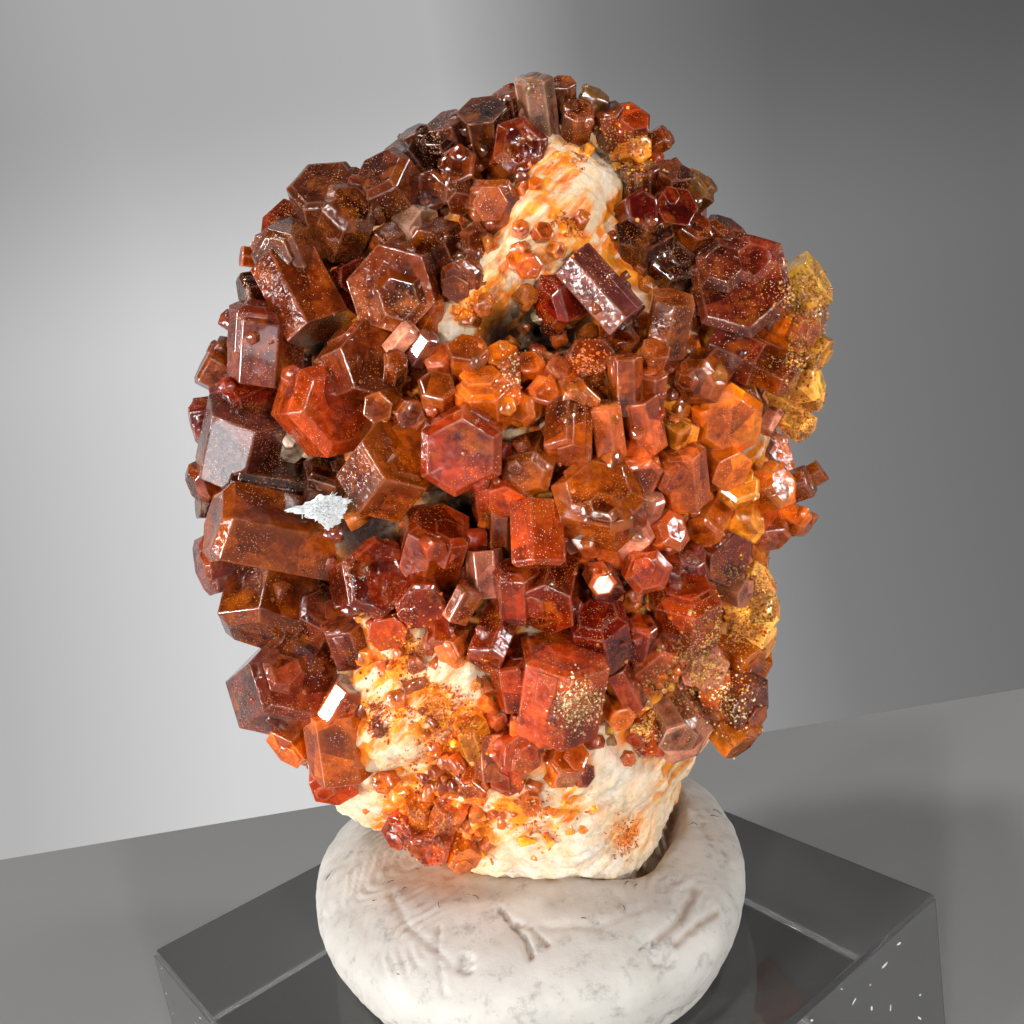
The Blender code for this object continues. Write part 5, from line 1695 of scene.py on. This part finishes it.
def plain_material(name, colour, roughness, grain, glow=0.0):
    """A dull material with a little grain, of this size in mm."""
    s = Shading(name)
    shade = s.ramp(s.noise(grain, 5.0, 0.6), (0.35, 0.0), (0.65, 1.0))
    s.link(s.mix(shade, colour, shaded(colour, 0.82)), "Base Color")
    s.link(s.bump(s.noise(grain * 0.3, 4.0), grain * 0.05, 0.5), "Normal")
    s.set(Roughness=roughness, Subsurface_Weight=glow, Subsurface_Scale=0.4 * MM)
    return s.owner


def floor_material():
    """Pale grey, dull, and very slightly clouded."""
    s = Shading("pale floor")
    s.link(s.ramp(s.noise(60.0, 2.0), (0.35, FLOOR_GREY * 0.96), (0.65, FLOOR_GREY)), "Base Color")
    s.set(Roughness=0.9, Specular_IOR_Level=0.2)
    return s.owner


def light(name, azimuth, elevation, distance, size, power, colour):
    """A round area light that looks at the specimen."""
    lamp = bpy.data.lights.new(name, "AREA")
    lamp.shape = "DISK"
    lamp.size = size
    lamp.energy = power
    lamp.color = colour
    thing = bpy.data.objects.new(name, lamp)
    bpy.context.scene.collection.objects.link(thing)
    turn = math.radians(azimuth)
    rise = math.radians(elevation)
    way = Vector((math.sin(turn) * math.cos(rise), -math.cos(turn) * math.cos(rise), math.sin(rise)))
    thing.location = LIT_POINT + way * distance
    thing.visible_camera = False
    thing.rotation_euler = way.to_track_quat("Z", "Y").to_euler()


def world_light():
    """Soft light from all round, brighter on the left, which is also the pale backdrop."""
    world = bpy.data.worlds.new("studio")
    bpy.context.scene.world = world
    g = Graph(world)
    parts = g.node("SeparateXYZ", {0: g.node("TexCoord", {}, "Generated")}).node.outputs
    from_left = g.maths("ADD", parts["X"], 0.5)
    backdrop = g.ramp(from_left, *[(side + 0.5, level) for side, level in BACKDROP])
    behind = g.smooth_step(parts["Y"], *BACKDROP_EDGE)
    start, end, share = BACKDROP_HIGH
    background = g.nodes["Background"]
    g.feed(background.inputs["Color"], g.mix(behind, (ROOM_LEVEL,) * 3, backdrop))
    g.feed(background.inputs["Strength"], g.smooth_step(parts["Z"], start, end, 1.0, share))


def camera():
    lens = bpy.data.cameras.new("photo view")
    lens.lens = LENS
    lens.sensor_width = 36.0
    lens.clip_start = 0.001
    thing = bpy.data.objects.new("photo view", lens)
    bpy.context.scene.collection.objects.link(thing)
    turn = Matrix((RIGHT, UP, OUT)).transposed()
    thing.matrix_world = Matrix.Translation(VIEW_POINT * MM) @ turn.to_4x4()
    bpy.context.scene.camera = thing


def floor(material):
    """The pale shelf, whose back edge shows behind the specimen."""
    form = bmesh.new()
    bmesh.ops.create_grid(form, x_segments=40, y_segments=40, size=FLOOR_REACH)
    for vertex in form.verts:
        if vertex.co.y > 0:
            vertex.co.y *= FLOOR_BACK / FLOOR_REACH
    mesh = bpy.data.meshes.new("floor")
    form.to_mesh(mesh)
    form.free()
    linked("floor", mesh, material)


def dressed(thing, slot, *nodes):
    """The piece rides on the part and stands for the nodes, which are hidden. The slot is not used."""
    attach(thing, "root")
    if nodes:
        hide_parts(*nodes)
    return thing


def nodes_named(name):
    """The CAD nodes of a cluster: its first body, and those numbered after it."""
    return [node for node in sorted(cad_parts) if node.rstrip("0123456789").rstrip("_") == name]


def grow_crystals(crystal, sugary):
    """The clusters and the single crystals, each listed crystal with its own look. Gives back all of them."""
    clusters = {name: [standing(one) for one in listed] for name, listed in CLUSTERS.items()}
    clusters.update(strewn_crystals())
    everything = [standing(one) for one in FUSED_TO_MATRIX + SMALL_CRYSTALS]
    for name, crystals in clusters.items():
        stock = Stock()
        for k, one in enumerate(crystals):
            add_crystal(stock, one, f"{name} {k}")
        everything.extend(crystals)
        druse = "druse" in name
        thing = stock.piece(name.replace("_crystals", "") + "_growth", sugary if druse else crystal)
        dressed(thing, "golden_crystal" if druse else "crystal", *nodes_named(name))
    stock = Stock()
    for k, one in enumerate(FUSED_TO_MATRIX):
        add_crystal(stock, raised(one), f"matrix {k}")
    for k, one in enumerate(SMALL_CRYSTALS):
        add_crystal(stock, standing(one), f"small {k}")
    dressed(stock.piece("single_crystals", crystal), "crystal")
    return everything


def write_sizes():
    bpy.context.view_layer.update()


def main():
    camera()
    world_light()
    for name, settings in LAMPS.items():
        light(name, *settings)
    floor(floor_material())
    bpy.context.scene.view_settings.view_transform = "Standard"

    crystal = crystal_material("vanadinite", (0.92, 0.42, 0.24), glitter=0.15, roughness=0.11, glow=0.20)
    sugary = crystal_material("golden druse", (0.95, 0.60, 0.32), glitter=0.20, roughness=0.16, glow=0.10)
    everything = grow_crystals(crystal, sugary)
    dressed(rock_piece(everything, rock_material()), "rock", "matrix")

    solids = [node for name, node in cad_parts.items() if name not in ("mineral_putty", "display_block")]
    tree, owners = surface_tree(solids)
    is_rock = [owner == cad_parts["matrix"] for owner in owners]
    for number, patches in enumerate((DRUSE_PATCHES[::2], DRUSE_PATCHES[1::2]), 1):
        stock = gap_stock(number, patches, tree, is_rock)
        dressed(stock.piece(f"gap_crystals_{number}", sugary), "golden_crystal")
    dressed(grain_stock(tree, is_rock).piece("grains", sugary), "golden_crystal")
    dressed(back_stock().piece("back_druse", sugary), "crystal")

    putty = dressed(putty_piece(putty_material()), "putty", "mineral_putty")
    hair = plain_material("fibre", (0.07, 0.06, 0.055), roughness=0.8, grain=0.2)
    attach(hairs_piece(putty, hair), "root")
    tissue = plain_material("white tissue", (0.86, 0.86, 0.87), roughness=0.9, grain=0.15, glow=0.2)
    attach(scrap_piece(tree, tissue), "root")
    dressed(block_piece(acrylic_material()), "acrylic", "display_block")
    scuff = plain_material("scuff", (0.80, 0.80, 0.80), roughness=0.5, grain=0.2)
    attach(scuffs_piece(scuff), "root")
    write_sizes()


main()
